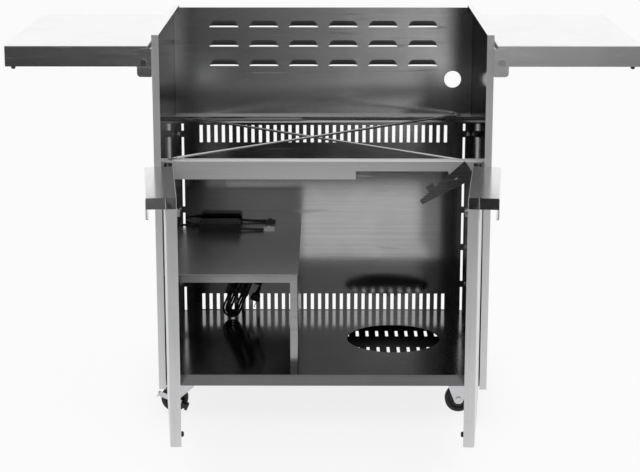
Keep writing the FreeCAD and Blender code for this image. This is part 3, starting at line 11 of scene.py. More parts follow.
import bmesh
import bpy
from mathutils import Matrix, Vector


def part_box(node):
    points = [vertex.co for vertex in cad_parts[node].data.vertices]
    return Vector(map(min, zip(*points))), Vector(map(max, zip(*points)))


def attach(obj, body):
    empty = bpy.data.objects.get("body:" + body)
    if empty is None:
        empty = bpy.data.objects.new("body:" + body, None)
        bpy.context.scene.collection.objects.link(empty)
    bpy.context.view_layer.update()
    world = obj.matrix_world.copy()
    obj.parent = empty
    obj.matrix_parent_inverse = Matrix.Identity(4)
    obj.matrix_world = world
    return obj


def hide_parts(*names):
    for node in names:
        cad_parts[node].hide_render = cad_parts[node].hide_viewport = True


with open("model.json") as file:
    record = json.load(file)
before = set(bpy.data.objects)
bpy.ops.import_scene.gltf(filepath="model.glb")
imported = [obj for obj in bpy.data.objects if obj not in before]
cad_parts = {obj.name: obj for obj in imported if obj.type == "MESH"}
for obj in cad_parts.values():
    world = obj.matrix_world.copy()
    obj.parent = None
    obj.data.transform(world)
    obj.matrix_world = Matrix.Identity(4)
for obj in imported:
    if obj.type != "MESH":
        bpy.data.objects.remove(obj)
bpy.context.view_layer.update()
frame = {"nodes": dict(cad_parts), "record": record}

MM = 0.001
nodes = frame["nodes"]
scene = bpy.context.scene
scene.view_settings.view_transform = "Standard"
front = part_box("left_side_panel")[0].y

# %% [markdown]
# ## The camera
# The photograph looks down on the cart from the front with a long lens. A camera without shift can
# be turned to any other side later, so the view is matched by height, distance, tilt and lens alone.

# %% Place the camera
PHOTO_WIDTH = 640
FOCAL_PIXELS = 1792.6
camera_data = bpy.data.cameras.new("photo_camera")
camera_data.sensor_width = 36.0
camera_data.lens = FOCAL_PIXELS * camera_data.sensor_width / PHOTO_WIDTH
camera = bpy.data.objects.new("photo_camera", camera_data)
camera.location = (0.0096, -4.0871, 1.4372)
tilt_down = 0.24327
turn_left = 0.004
camera.rotation_euler = (math.pi / 2 - tilt_down, 0, turn_left)
scene.collection.objects.link(camera)
scene.camera = camera
print(f"camera {camera.location.length:.2f} m away with a {camera_data.lens:.0f} mm lens")


# %% [markdown]
# ## Small node helpers
# A material is a graph of nodes. These helpers add a node, join two sockets and do simple sums, so
# that each finish below reads as a short list of steps.

# %% Node helpers
def add_node(tree, kind, **settings):
    """Add a node and set its options."""
    node = tree.nodes.new(kind)
    for name, value in settings.items():
        setattr(node, name, value)
    return node


def join(tree, source, target):
    """Join an output socket to an input socket."""
    tree.links.new(source, target)


def maths(tree, operation, first, second, clamp=False):
    """One sum of two sockets or numbers."""
    node = add_node(tree, "ShaderNodeMath", operation=operation, use_clamp=clamp)
    for index, value in enumerate((first, second)):
        if isinstance(value, (int, float)):
            node.inputs[index].default_value = value
        else:
            join(tree, value, node.inputs[index])
    return node.outputs[0]


def remap(tree, value, from_low, from_high, to_low, to_high, smooth=False):
    """Spread a value from one range over another, without leaving it."""
    node = add_node(tree, "ShaderNodeMapRange")
    if smooth:
        node.interpolation_type = "SMOOTHSTEP"
    join(tree, value, node.inputs["Value"])
    limits = {"From Min": from_low, "From Max": from_high, "To Min": to_low, "To Max": to_high}
    for name, limit in limits.items():
        node.inputs[name].default_value = limit
    return node.outputs[0]


def mix_colours(tree, share, first, second):
    """A colour between two colours."""
    node = add_node(tree, "ShaderNodeMix", data_type="RGBA")
    join(tree, share, node.inputs["Factor"])
    for name, colour in (("A", first), ("B", second)):
        socket = next(s for s in node.inputs if s.name == name and s.type == "RGBA")
        socket.default_value = (*colour, 1)
    return next(s for s in node.outputs if s.type == "RGBA")


print("node helpers ready")

# %% [markdown]
# ## The studio
# The cart stands on white paper in front of a white wall. The room on the camera's side is dark, with
# a pale patch low on the right, a dim strip just below the horizon and a grey glow above it.
# Polished steel is a mirror, so this room is most of its colour. A room could be built from walls and
# cards, but a world that changes with direction is simpler and smoother. The camera and clear glass
# see a plain wall as pale as the paper, so no line shows where the paper ends. Mirrors see the room,
# and matte pieces get an even soft light.

# %% World
world = bpy.data.worlds.new("studio")
scene.world = world
world.use_nodes = True
tree = world.node_tree
tree.nodes.clear()
direction = add_node(tree, "ShaderNodeSeparateXYZ")
join(tree, add_node(tree, "ShaderNodeTexCoord").outputs["Generated"], direction.inputs[0])
across, forward, upward = direction.outputs
towards_camera = remap(tree, forward, -0.15, -0.55, 0, 1, smooth=True)
overhead = remap(tree, upward, 0.6, 0.9, 0, 1, smooth=True)
dark_side = maths(tree, "MULTIPLY", towards_camera, maths(tree, "SUBTRACT", 1, overhead))
dim_glow = remap(tree, across, -0.08, 0.02, 0.01, 0.12, smooth=True)
bright_glow = remap(tree, across, 0.0, 0.05, 0, 0.88, smooth=True)
pale_patch = maths(tree, "MULTIPLY", maths(tree, "ADD", dim_glow, bright_glow),
                   remap(tree, across, 0.09, 0.13, 1, 0.2, smooth=True))
patch_height = maths(tree, "MULTIPLY", remap(tree, upward, -0.192, -0.168, 0.02, 1, smooth=True),
                     remap(tree, upward, -0.14, -0.08, 1, 0.3, smooth=True))
low_strip = maths(tree, "MULTIPLY", remap(tree, upward, -0.14, -0.11, 0, 0.18, smooth=True),
                  remap(tree, upward, -0.08, -0.03, 1, 0.1, smooth=True))
low_strip = maths(tree, "MULTIPLY", low_strip, remap(tree, across, -0.10, -0.08, 0.15, 1, smooth=True))
high_glow = maths(tree, "MULTIPLY", remap(tree, upward, 0.05, 0.12, 0, 0.48, smooth=True),
                  remap(tree, upward, 0.3, 0.45, 1, 0.1, smooth=True))
dark_room = maths(tree, "ADD", maths(tree, "MULTIPLY", pale_patch, patch_height),
                  maths(tree, "ADD", low_strip, high_glow))
room = maths(tree, "ADD", maths(tree, "MULTIPLY", dark_side, dark_room),
             maths(tree, "SUBTRACT", 1, dark_side))
rays = add_node(tree, "ShaderNodeLightPath").outputs
SOFT_LIGHT = 0.5
WALL_LEVEL = 0.963
seen_plain = maths(tree, "MAXIMUM", rays["Is Camera Ray"], rays["Is Transmission Ray"])
seen_plain = maths(tree, "MULTIPLY", seen_plain, WALL_LEVEL)
mirrored = maths(tree, "MULTIPLY", rays["Is Glossy Ray"], maths(tree, "SUBTRACT", room, SOFT_LIGHT))
strength = maths(tree, "MAXIMUM", seen_plain, maths(tree, "ADD", mirrored, SOFT_LIGHT))
background = add_node(tree, "ShaderNodeBackground")
background.inputs["Color"].default_value = (1, 1, 1, 1)
join(tree, strength, background.inputs["Strength"])
join(tree, background.outputs[0], add_node(tree, "ShaderNodeOutputWorld").inputs[0])
print(f"world with {len(tree.nodes)} nodes")

# %% [markdown]
# The paper ends some way in front of the cart, as a photographer's roll does, so the upper inside
# faces mirror the dark room beyond it and the lower ones mirror white paper. To the camera and to
# mirrors it is partly an even glow and partly matte paper, which keeps the cart's shadow. The glow is
# set so that paper without shadow is as pale as the wall.

# %% Floor
FLOOR_FRONT = -1.62
SHADOW_SHARE = 0.3
LIT_PAPER = 0.458
PAPER_GLOW = (WALL_LEVEL - SHADOW_SHARE * LIT_PAPER) / (1 - SHADOW_SHARE)
floor_mesh = bpy.data.meshes.new("sweep")
corners = [(-7, FLOOR_FRONT, 0), (7, FLOOR_FRONT, 0), (7, 8, 0), (-7, 8, 0)]
floor_mesh.from_pydata(corners, [], [(0, 1, 2, 3)])
floor = bpy.data.objects.new("sweep", floor_mesh)
scene.collection.objects.link(floor)
sweep = bpy.data.materials.new("sweep_paper")
sweep.use_nodes = True
tree = sweep.node_tree
tree.nodes.clear()
paper = add_node(tree, "ShaderNodeBsdfDiffuse")
paper.inputs["Color"].default_value = (0.9, 0.9, 0.9, 1)
glow = add_node(tree, "ShaderNodeEmission")
glow.inputs["Color"].default_value = (1, 1, 1, 1)
glow.inputs["Strength"].default_value = PAPER_GLOW
rays = add_node(tree, "ShaderNodeLightPath").outputs
seen = maths(tree, "MAXIMUM", rays["Is Camera Ray"],
             maths(tree, "MAXIMUM", rays["Is Glossy Ray"], rays["Is Transmission Ray"]))
blend = add_node(tree, "ShaderNodeMixShader")
join(tree, maths(tree, "MULTIPLY", seen, 1 - SHADOW_SHARE), blend.inputs[0])
join(tree, paper.outputs[0], blend.inputs[1])
join(tree, glow.outputs[0], blend.inputs[2])
join(tree, blend.outputs[0], add_node(tree, "ShaderNodeOutputMaterial").inputs[0])
floor_mesh.materials.append(sweep)
print("floor laid")


# %% [markdown]
# Two large lamps with soft edges stand for a studio's softboxes, one overhead and one to the right.
# A mirror adds a lamp to the white room behind it, so wide, weak lamps keep the pale steel below pure
# white, where small, strong ones would burn it out.

# %% Lamps
def softbox(name, place, target, width, height, power):
    """A rectangular studio lamp that points at a target."""
    data = bpy.data.lights.new(name, "AREA")
    data.shape = "RECTANGLE"
    data.size = width
    data.size_y = height
    data.energy = power
    lamp = bpy.data.objects.new(name, data)
    lamp.location = place
    lamp.rotation_euler = (Vector(target) - Vector(place)).to_track_quat("-Z", "Y").to_euler()
    scene.collection.objects.link(lamp)


softbox("overhead_softbox", (0.4, 0.3, 3.4), (0, 0, 0.5), 5.2, 4.0, 2)
softbox("right_softbox", (2.6, -2.4, 2.2), (0, 0, 0.5), 2.4, 2.4, 4)
print("two softboxes lit")

# %% [markdown]
# ## Shared surface effects
# Rolled stainless carries fine lines from the brushing belt, all one way. Hands and folding leave
# soft cloudy patches and a few hairline scratches that change the gloss. Moulded plastic and rubber
# have a fine grain. Each effect is a node group that puts out a mask, and each finish uses it with
# its own values, which is easier to keep in step than copies of the same nodes.


# %% Effect groups
def effect_group(name, inputs, output):
    """An empty node group with named inputs and one value output."""
    group = bpy.data.node_groups.new(name, "ShaderNodeTree")
    for label, kind, value in inputs:
        socket = group.interface.new_socket(label, in_out="INPUT", socket_type=kind)
        socket.default_value = value
    group.interface.new_socket(output, in_out="OUTPUT", socket_type="NodeSocketFloat")
    return group, add_node(group, "NodeGroupInput"), add_node(group, "NodeGroupOutput")


def piece_coordinates(tree):
    """Places on the piece itself, which move with it."""
    return add_node(tree, "ShaderNodeTexCoord").outputs["Object"]


brush_lines, group_in, group_out = effect_group(
    "brush_lines", [("Stretch", "NodeSocketVector", (6, 600, 600)),
                    ("Detail", "NodeSocketFloat", 4)], "Lines")
stretched = add_node(brush_lines, "ShaderNodeVectorMath", operation="MULTIPLY")
join(brush_lines, piece_coordinates(brush_lines), stretched.inputs[0])
join(brush_lines, group_in.outputs["Stretch"], stretched.inputs[1])
streaks = add_node(brush_lines, "ShaderNodeTexNoise")
streaks.inputs["Scale"].default_value = 1
streaks.inputs["Roughness"].default_value = 0.65
join(brush_lines, stretched.outputs[0], streaks.inputs["Vector"])
join(brush_lines, group_in.outputs["Detail"], streaks.inputs["Detail"])
join(brush_lines, remap(brush_lines, streaks.outputs[0], 0.3, 0.7, 0, 1), group_out.inputs["Lines"])

handling, group_in, group_out = effect_group(
    "handling_marks", [("Size", "NodeSocketFloat", 7)], "Marks")
clouds = add_node(handling, "ShaderNodeTexNoise")
clouds.inputs["Detail"].default_value = 3
clouds.inputs["Distortion"].default_value = 0.6
join(handling, piece_coordinates(handling), clouds.inputs["Vector"])
join(handling, group_in.outputs["Size"], clouds.inputs["Scale"])
cloudy = remap(handling, clouds.outputs[0], 0.38, 0.68, 0, 1, smooth=True)
join(handling, cloudy, group_out.inputs["Marks"])
print("brush lines and handling marks built")

# %% [markdown]
# A mould's surface leaves small pits all over a plastic or rubber piece, so that grain is an even
# noise. Hairline scratches are the opposite: noise stretched far along one slanted line, of which only
# the highest peaks are kept.

# %% More effect groups
moulded_grain, group_in, group_out = effect_group(
    "moulded_grain", [("Size", "NodeSocketFloat", 900)], "Grain")
pits = add_node(moulded_grain, "ShaderNodeTexNoise")
pits.inputs["Detail"].default_value = 2
join(moulded_grain, piece_coordinates(moulded_grain), pits.inputs["Vector"])
join(moulded_grain, group_in.outputs["Size"], pits.inputs["Scale"])
join(moulded_grain, remap(moulded_grain, pits.outputs[0], 0.3, 0.7, 0, 1), group_out.inputs["Grain"])

hairlines, group_in, group_out = effect_group(
    "hairline_scratches", [("Size", "NodeSocketFloat", 30)], "Scratches")
slanted = add_node(hairlines, "ShaderNodeMapping")
slanted.inputs["Rotation"].default_value = (0.3, 0.5, 0.7)
slanted.inputs["Scale"].default_value = (0.15, 6, 2)
join(hairlines, piece_coordinates(hairlines), slanted.inputs["Vector"])
threads = add_node(hairlines, "ShaderNodeTexNoise")
threads.inputs["Detail"].default_value = 1
threads.inputs["Distortion"].default_value = 0.4
join(hairlines, slanted.outputs[0], threads.inputs["Vector"])
join(hairlines, group_in.outputs["Size"], threads.inputs["Scale"])
join(hairlines, remap(hairlines, threads.outputs[0], 0.68, 0.74, 0, 1), group_out.inputs["Scratches"])
print("moulded grain and hairline scratches built")


# %% [markdown]
# ## Finishes
# A brushed finish is bright steel whose gloss and colour change from line to line, with a very
# shallow bump. Plated pieces are finer and bluer. Plastics and rubber are matte with a grain. One
# maker for each family keeps them alike, and each finish gives its own shades, gloss and direction.

# %% Finish makers
FINISHES = {}


def place_group(tree, group, **values):
    """Place an effect group in a material with its own values."""
    node = add_node(tree, "ShaderNodeGroup", node_tree=group)
    for name, value in values.items():
        node.inputs[name].default_value = value
    return node.outputs[0]


def new_finish(name):
    """A material with an empty shader, ready for its values."""
    finish = bpy.data.materials.new(name)
    finish.use_nodes = True
    FINISHES[name] = finish
    return finish.node_tree, finish.node_tree.nodes["Principled BSDF"]


def bump_from(tree, shader, height, strength, distance):
    """A shallow relief on a finish."""
    bump = add_node(tree, "ShaderNodeBump")
    bump.inputs["Strength"].default_value = strength
    bump.inputs["Distance"].default_value = distance
    join(tree, height, bump.inputs["Height"])
    join(tree, bump.outputs[0], shader.inputs["Normal"])


def grey(level, tint):
    """A grey with a touch of blue, or of yellow where the tint is below zero."""
    return (level, level, level * (1 + tint))


def brushed_steel(name, shades, gloss, stretch, relief, tint=0.01, edge=1):
    """Brushed sheet: fine and broad lines one way, hairline scratches, handling marks and relief."""
    tree, shader = new_finish(name)
    shader.inputs["Metallic"].default_value = 1
    shader.inputs["Specular Tint"].default_value = (edge, edge, edge, 1)
    fine = place_group(tree, brush_lines, Stretch=stretch)
    broad = place_group(tree, brush_lines, Stretch=tuple(scale / 6 for scale in stretch))
    marks = place_group(tree, handling)
    hairs = place_group(tree, hairlines)
    lines = maths(tree, "ADD", maths(tree, "MULTIPLY", fine, 0.55), maths(tree, "MULTIPLY", broad, 0.45))
    shade = maths(tree, "SUBTRACT", lines, maths(tree, "MULTIPLY", marks, 0.2), clamp=True)
    dark, pale = shades
    join(tree, mix_colours(tree, shade, grey(dark, tint), grey(pale, tint)), shader.inputs["Base Color"])
    smooth, rough = gloss
    worn = maths(tree, "ADD", maths(tree, "MULTIPLY", marks, 0.02), maths(tree, "MULTIPLY", hairs, 0.08))
    join(tree, maths(tree, "ADD", remap(tree, fine, 0, 1, smooth, rough), worn), shader.inputs["Roughness"])
    bump_from(tree, shader, fine, relief, 0.0001)


def moulded(name, shades, gloss, grain_size, relief, tint=0.01):
    """Moulded plastic or rubber: two near shades, a fine grain and an even gloss."""
    tree, shader = new_finish(name)
    grain = place_group(tree, moulded_grain, Size=grain_size)
    marks = place_group(tree, handling, Size=18)
    dark, pale = shades
    join(tree, mix_colours(tree, marks, grey(dark, tint), grey(pale, tint)), shader.inputs["Base Color"])
    smooth, rough = gloss
    join(tree, remap(tree, grain, 0, 1, smooth, rough), shader.inputs["Roughness"])
    bump_from(tree, shader, grain, relief, 0.0003)


print("finish makers ready")

# %% [markdown]
# The sheets are brushed along their length. The rear and side sheets are nearly mirrors on the inside, and
# the doors and the front rail are duller. The steel is one and the same, so the different colours of these
# finishes are painted light and shade: the pulls and the side shelves are the brightest and the doors and
# the rail are pale, a painted highlight; the inside sheets, the door liners, the floor panel, the base pan
# and the bracket are darker, a painted shade; and the insides of the louvres are painted near black, a
# painted shade.

# %% Mix the finishes
ALONG_X = (8, 1500, 1500)
ALONG_Y = (1500, 8, 1500)
ALONG_Z = (1500, 1500, 8)
ALL_WAYS = (260, 260, 260)
# One steel throughout: the pale pairs of shades below are painted highlight and the dark pairs are painted
# shade.
brushed_steel("upper_rear_sheet", (0.52, 0.64), (0.14, 0.19), ALONG_X, 0.06)
brushed_steel("rear_sheet", (0.31, 0.43), (0.07, 0.11), ALONG_X, 0.03)
# The insides of the louvre hoods are painted near black, a painted shade.
brushed_steel("louvre_painted_shade", (0.03, 0.07), (0.3, 0.4), ALONG_X, 0.1)
brushed_steel("side_sheet", (0.24, 0.34), (0.05, 0.09), ALONG_Z, 0.03, edge=0.3)
brushed_steel("floor_sheet", (0.11, 0.18), (0.10, 0.14), ALONG_X, 0.1)
brushed_steel("pan_sheet", (0.03, 0.06), (0.4, 0.5), ALONG_X, 0.1)
brushed_steel("inner_shelf_sheet", (0.26, 0.38), (0.16, 0.24), ALONG_X, 0.1)
brushed_steel("inner_shelf_top", (0.40, 0.52), (0.28, 0.36), ALONG_X, 0.1)
brushed_steel("shelf_sheet", (0.86, 0.96), (0.18, 0.26), ALONG_X, 0.1)
brushed_steel("door_sheet", (0.74, 0.88), (0.5, 0.6), ALONG_Z, 0.1)
brushed_steel("liner_sheet", (0.26, 0.38), (0.3, 0.4), ALONG_Z, 0.1)
brushed_steel("pull_sheet", (0.74, 0.88), (0.14, 0.20), ALONG_Y, 0.05)
brushed_steel("rail_sheet", (0.76, 0.88), (0.42, 0.52), ALONG_X, 0.1)
brushed_steel("bracket_plate", (0.18, 0.26), (0.22, 0.32), ALONG_X, 0.05)
brushed_steel("drawn_rod", (0.46, 0.60), (0.2, 0.3), ALONG_X, 0.06)
brushed_steel("zinc_plate", (0.60, 0.72), (0.25, 0.4), ALL_WAYS, 0.1, tint=0.05)
brushed_steel("bright_screw", (0.55, 0.68), (0.15, 0.25), ALL_WAYS, 0.06)
moulded("tyre_rubber", (0.012, 0.024), (0.45, 0.6), 700, 0.3)
moulded("wheel_core", (0.022, 0.034), (0.3, 0.42), 1200, 0.25)
moulded("bumper_rubber", (0.010, 0.018), (0.5, 0.65), 900, 0.3)
moulded("black_case", (0.011, 0.019), (0.35, 0.5), 1400, 0.4, tint=0.08)
moulded("white_shell", (0.78, 0.84), (0.3, 0.42), 1200, 0.2, tint=-0.02)
moulded("cord_jacket", (0.010, 0.020), (0.4, 0.5), 1500, 0.2)
print(f"{len(FINISHES)} finishes mixed")

# %% [markdown]
# Each solid of the frame names a material slot, and most take the finish of their slot. Some sheets of the
# same slot are polished or dulled in their own way, and their colours are painted lighter or darker as
# painted light and shade, so they are named one by one.

# %% Choose each finish
SLOT_FINISH = {
    "stainless": "rear_sheet", "polished_stainless": "side_sheet", "rod_steel": "drawn_rod",
    "zinc_steel": "zinc_plate", "fasteners": "bright_screw", "wheel_rubber": "tyre_rubber",
    "black_rubber": "bumper_rubber", "black_plastic": "black_case", "white_plastic": "white_shell",
    "cord_jacket": "cord_jacket",
}
NODE_FINISH = {
    "floor_panel": "floor_sheet", "inner_shelf": "inner_shelf_sheet", "base_pan": "pan_sheet",
    "left_shelf_pan": "shelf_sheet", "right_shelf_pan": "shelf_sheet", "shelf_brackets": "shelf_sheet",
    "front_rail": "rail_sheet", "regulator_bracket": "bracket_plate",
}
for side in ("left", "right"):
    NODE_FINISH[f"{side}_door_skin"] = "door_sheet"
    NODE_FINISH[f"{side}_door_liner"] = "liner_sheet"
    NODE_FINISH[f"{side}_door_pull"] = "pull_sheet"
slot_of = {row["node"]: row["material_slot"] for row in frame["record"]["subparts"]}
body_of = {node: body for body, members in frame["record"]["behaviour"]["bodies"].items()
           for node in members}


def wear(piece, *finish_names):
    """Give a piece its finishes, in the order of its faces' numbers."""
    if piece.data.materials:
        piece.data.materials.clear()
    for finish_name in finish_names:
        piece.data.materials.append(FINISHES[finish_name])


def finish_of(node):
    """The finish that a solid takes by name, or else by its slot."""
    return NODE_FINISH.get(node, SLOT_FINISH[slot_of[node]])


for node in nodes:
    wear(nodes[node], finish_of(node))
print(f"{len(nodes)} nodes finished")


# %% [markdown]
# ## Tools for finer pieces
# Where a solid is only a plain form, a finer piece takes its place. It is made point by point in a
# mesh, rides on the body of its solid and takes that solid's slot. Most small parts are turned on a
# lathe, so one helper spins a profile of radius and height about an axis.

# %% Piece tools
SHARP_ANGLE = math.radians(35)


def new_piece(name, mesh, node, *finish_names):
    """Turn a mesh into a piece that stands for a solid and moves with it."""
    for face in mesh.faces:
        face.smooth = True
    data = bpy.data.meshes.new(name)
    mesh.to_mesh(data)
    mesh.free()
    data.set_sharp_from_angle(angle=SHARP_ANGLE)
    piece = bpy.data.objects.new(name, data)
    scene.collection.objects.link(piece)
    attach(piece, body_of[node])
    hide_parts(node)
    wear(piece, *(finish_names or (finish_of(node),)))
    return piece


def add_turned(mesh, rings, foot, axis, segments=36, closed=False):
    """Spin a profile of (radius, height) about an axis; a radius may change with the angle."""
    turn = Vector((0, 0, 1)).rotation_difference(Vector(axis))
    loops = []
    for radius, height in rings:
        loop = []
        for step in range(segments):
            angle = math.tau * step / segments
            reach = radius(angle) if callable(radius) else radius
            spot = Vector((reach * math.cos(angle), reach * math.sin(angle), height))
            loop.append(mesh.verts.new(foot + turn @ spot))
        loops.append(loop)
    pairs = list(zip(loops, loops[1:]))
    if closed:
        pairs.append((loops[-1], loops[0]))
    bands = []
    for lower, upper in pairs:
        bands.append([mesh.faces.new((lower[step], lower[(step + 1) % segments],
                                      upper[(step + 1) % segments], upper[step]))
                      for step in range(segments)])
    if not closed:
        mesh.faces.new(list(reversed(loops[0])))
        mesh.faces.new(loops[-1])
    return bands


def islands(node):
    """The boxes of a solid's separate bodies, as pairs of corners."""
    mesh = bmesh.new()
    mesh.from_mesh(nodes[node].data)
    bmesh.ops.remove_doubles(mesh, verts=mesh.verts, dist=1e-6)
    waiting = set(mesh.verts)
    boxes = []
    while waiting:
        edge_of_search = [waiting.pop()]
        places = []
        while edge_of_search:
            vertex = edge_of_search.pop()
            places.append(vertex.co.copy())
            for edge in vertex.link_edges:
                other = edge.other_vert(vertex)
                if other in waiting:
                    waiting.remove(other)
                    edge_of_search.append(other)
        low = Vector(min(place[axis] for place in places) for axis in range(3))
        high = Vector(max(place[axis] for place in places) for axis in range(3))
        boxes.append((low, high))
    mesh.free()
    return boxes


print("piece tools ready")


# %% [markdown]
# ## The mains plug
# A moulded plug ends the mains cord. Its body is an oval that swells from a ribbed neck to a flat
# face with two blades. A plain box would do from afar, but the neck's ribs and the rounded body are
# what make it a plug, so oval rings are stacked along its axis.

# %% Mains plug
CORD_DIAMETER = 5.5 * MM
HANK_RUN = 100 * MM
HANK_PITCH = 6.3 * MM
HANK_HALF_WIDTH = 20 * MM
HANK_TURNS = 3
PLUG_OFFSET = 44 * MM
PLUG_TAIL = 20 * MM
HANK_ACROSS = -216 * MM
HANK_BACK = 499 * MM
FLOOR_TOP = 110 * MM
REST_GAP = 0.3 * MM
half_run = HANK_RUN / 2
hank_lean = math.radians(22)
along_hank = Vector((math.sin(hank_lean), 0, math.cos(hank_lean)))
across_hank = Vector((math.cos(hank_lean), 0, -math.sin(hank_lean)))
hank_depth = HANK_HALF_WIDTH + CORD_DIAMETER / 2 + HANK_PITCH / 2 + half_run * math.cos(hank_lean)
hank_centre = Vector((HANK_ACROSS, front + HANK_BACK, FLOOR_TOP + REST_GAP + hank_depth))


def hank_point(along, across, layer):
    """A point of the hank from its distances along, across and between the layers."""
    return hank_centre + along_hank * along + across_hank * across + Vector((0, layer, 0))


def oval(half_width, half_depth, squareness):
    """A rounded rectangle's radius at each angle; a higher squareness has tighter corners."""
    def radius(angle):
        wide = abs(math.cos(angle) / half_width) ** squareness
        deep = abs(math.sin(angle) / half_depth) ** squareness
        return (wide + deep) ** (-1 / squareness)
    return radius


def add_block(mesh, low, high, place):
    """A small block between two corners, put in place by a function."""
    corners = [mesh.verts.new(place(Vector((x, y, z))))
               for x in (low[0], high[0]) for y in (low[1], high[1]) for z in (low[2], high[2])]
    quads = ((0, 1, 3, 2), (4, 6, 7, 5), (0, 4, 5, 1), (2, 3, 7, 6), (0, 2, 6, 4), (1, 5, 7, 3))
    return [mesh.faces.new([corners[index] for index in quad]) for quad in quads]


plug_root = hank_point(half_run - PLUG_TAIL, PLUG_OFFSET, -HANK_PITCH / 2)
plug_axis = -along_hank
plug_rings = [(oval(3.4 * MM, 3.4 * MM, 2), 0)]
for rib in range(4):
    foot = (1 + 4 * rib) * MM
    rib_size = (4.6 + 0.35 * rib) * MM
    plug_rings += [(oval(rib_size, rib_size, 2), foot), (oval(rib_size, rib_size, 2), foot + 2 * MM),
                   (oval(rib_size - 0.9 * MM, rib_size - 0.9 * MM, 2), foot + 2.4 * MM),
                   (oval(rib_size - 0.9 * MM, rib_size - 0.9 * MM, 2), foot + 3.6 * MM)]
plug_rings += [(oval(7 * MM, 6.4 * MM, 2.4), 18 * MM), (oval(10.5 * MM, 8.4 * MM, 3), 22 * MM),
               (oval(12 * MM, 9 * MM, 4), 28 * MM), (oval(12 * MM, 9 * MM, 4.5), 36.6 * MM),
               (oval(11.2 * MM, 8.2 * MM, 4.5), 37.7 * MM), (oval(10 * MM, 7.2 * MM, 4.5), 38 * MM)]
plug_mesh = bmesh.new()
add_turned(plug_mesh, plug_rings, plug_root, plug_axis, segments=40)
plug_turn = Vector((0, 0, 1)).rotation_difference(plug_axis)
BLADE_OFFSET = 6.35 * MM
BLADE_HALF_THICKNESS = 0.75 * MM
BLADE_HALF_WIDTH = 3.15 * MM
BLADE_ROOT = 37 * MM
BLADE_TIP = 55 * MM
for blade_side in (-1, 1):
    blade_middle = blade_side * BLADE_OFFSET
    blade_low = (blade_middle - BLADE_HALF_THICKNESS, -BLADE_HALF_WIDTH, BLADE_ROOT)
    blade_high = (blade_middle + BLADE_HALF_THICKNESS, BLADE_HALF_WIDTH, BLADE_TIP)
    for face in add_block(plug_mesh, blade_low, blade_high, lambda spot: plug_root + plug_turn @ spot):
        face.material_index = 1
bmesh.ops.recalc_face_normals(plug_mesh, faces=plug_mesh.faces)
plug_piece = new_piece("ribbed_plug", plug_mesh, "mains_plug", "black_case", "bright_screw")
print(f"plug of {len(plug_piece.data.polygons)} faces")


# %% [markdown]
# ## The mains cord
# A light transformer stands on the inner shelf. Its mains cord leaves the gland, turns back along
# the wall behind the case, drops through the notch in the shelf and is folded into a tied hank.
# One smooth spline carries the whole length: the route's points first, then the loops of the hank
# from the same sizes as the solid, going in along one layer and out along the next.

# %% Hank loops
def loop_end(end, start_across, end_across, layer):
    """Control points round one end of the hank, a little outside the cord's own line."""
    steps = 7
    outside = 1 / math.cos(math.pi / (2 * (steps - 1)))
    middle = (start_across + end_across) / 2
    radius = (start_across - end_across) / 2
    turns = [math.pi * step / (steps - 1) for step in range(steps)]
    return [hank_point(end * (half_run + abs(radius) * outside * math.sin(turn)),
                       middle + radius * outside * math.cos(turn), layer) for turn in turns]


def loop_side(start_along, end_along, across, start_layer, end_layer):
    """Control points along one side of the hank, easing from one layer to another."""
    points = []
    for share in (0.2, 0.4, 0.6, 0.8):
        eased = share * share * (3 - 2 * share)
        points.append(hank_point(start_along + (end_along - start_along) * share, across,
                                 start_layer + (end_layer - start_layer) * eased))
    return points


def hank_points():
    """The loops: in along the back layer, up a layer, and out along the front layer."""
    back, fore = HANK_PITCH / 2, -HANK_PITCH / 2
    rights = [HANK_HALF_WIDTH - HANK_PITCH * turn for turn in range(HANK_TURNS)]
    lefts = [right - HANK_PITCH / 2 for right in rights]
    points = []
    for turn in range(HANK_TURNS):
        points += loop_side(half_run, -half_run, rights[turn], back, back)
        points += loop_end(-1, rights[turn], -lefts[turn], back)
        if turn < HANK_TURNS - 1:
            points += loop_side(-half_run, half_run, -lefts[turn], back, back)
            points += loop_end(1, -lefts[turn], rights[turn + 1], back)
    points += loop_side(-half_run, half_run, -lefts[-1], back, fore)
    left = lefts[-1]
    for right in reversed(rights):
        points += loop_end(1, -left, right, fore)
        points += loop_side(half_run, -half_run, right, fore, fore)
        left = right + HANK_PITCH / 2
        points += loop_end(-1, right, -left, fore)
        points += loop_side(-half_run, half_run, -left, fore, fore)
    points += loop_end(1, -left, PLUG_OFFSET, fore)
    points.append(hank_point(half_run - PLUG_TAIL / 2, PLUG_OFFSET, fore))
    points.append(hank_point(half_run - PLUG_TAIL, PLUG_OFFSET, fore))
    return points


print(f"hank of {len(hank_points())} points")


# %% [markdown]
# The cord is a curve with a round bevel. A curve keeps its line editable and smooth, where a mesh
# tube would fix it in flat facets.

# %% Mains cord
def cord_curve(name, points, diameter):
    """A round cord along one smooth spline through the middle of its control points."""
    curve = bpy.data.curves.new(name, "CURVE")
    curve.dimensions = "3D"
    curve.bevel_depth = 1
    curve.bevel_resolution = 4
    curve.resolution_u = 4
    curve.use_fill_caps = True
    spline = curve.splines.new("NURBS")
    spline.points.add(len(points) - 1)
    for point, place in zip(spline.points, points):
        point.co = (*place, 1)
        point.radius = diameter / 2
    spline.order_u = 3
    spline.use_endpoint_u = True
    cord = bpy.data.objects.new(name, curve)
    scene.collection.objects.link(cord)
    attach(cord, "cabinet")
    wear(cord, "cord_jacket")
    return cord


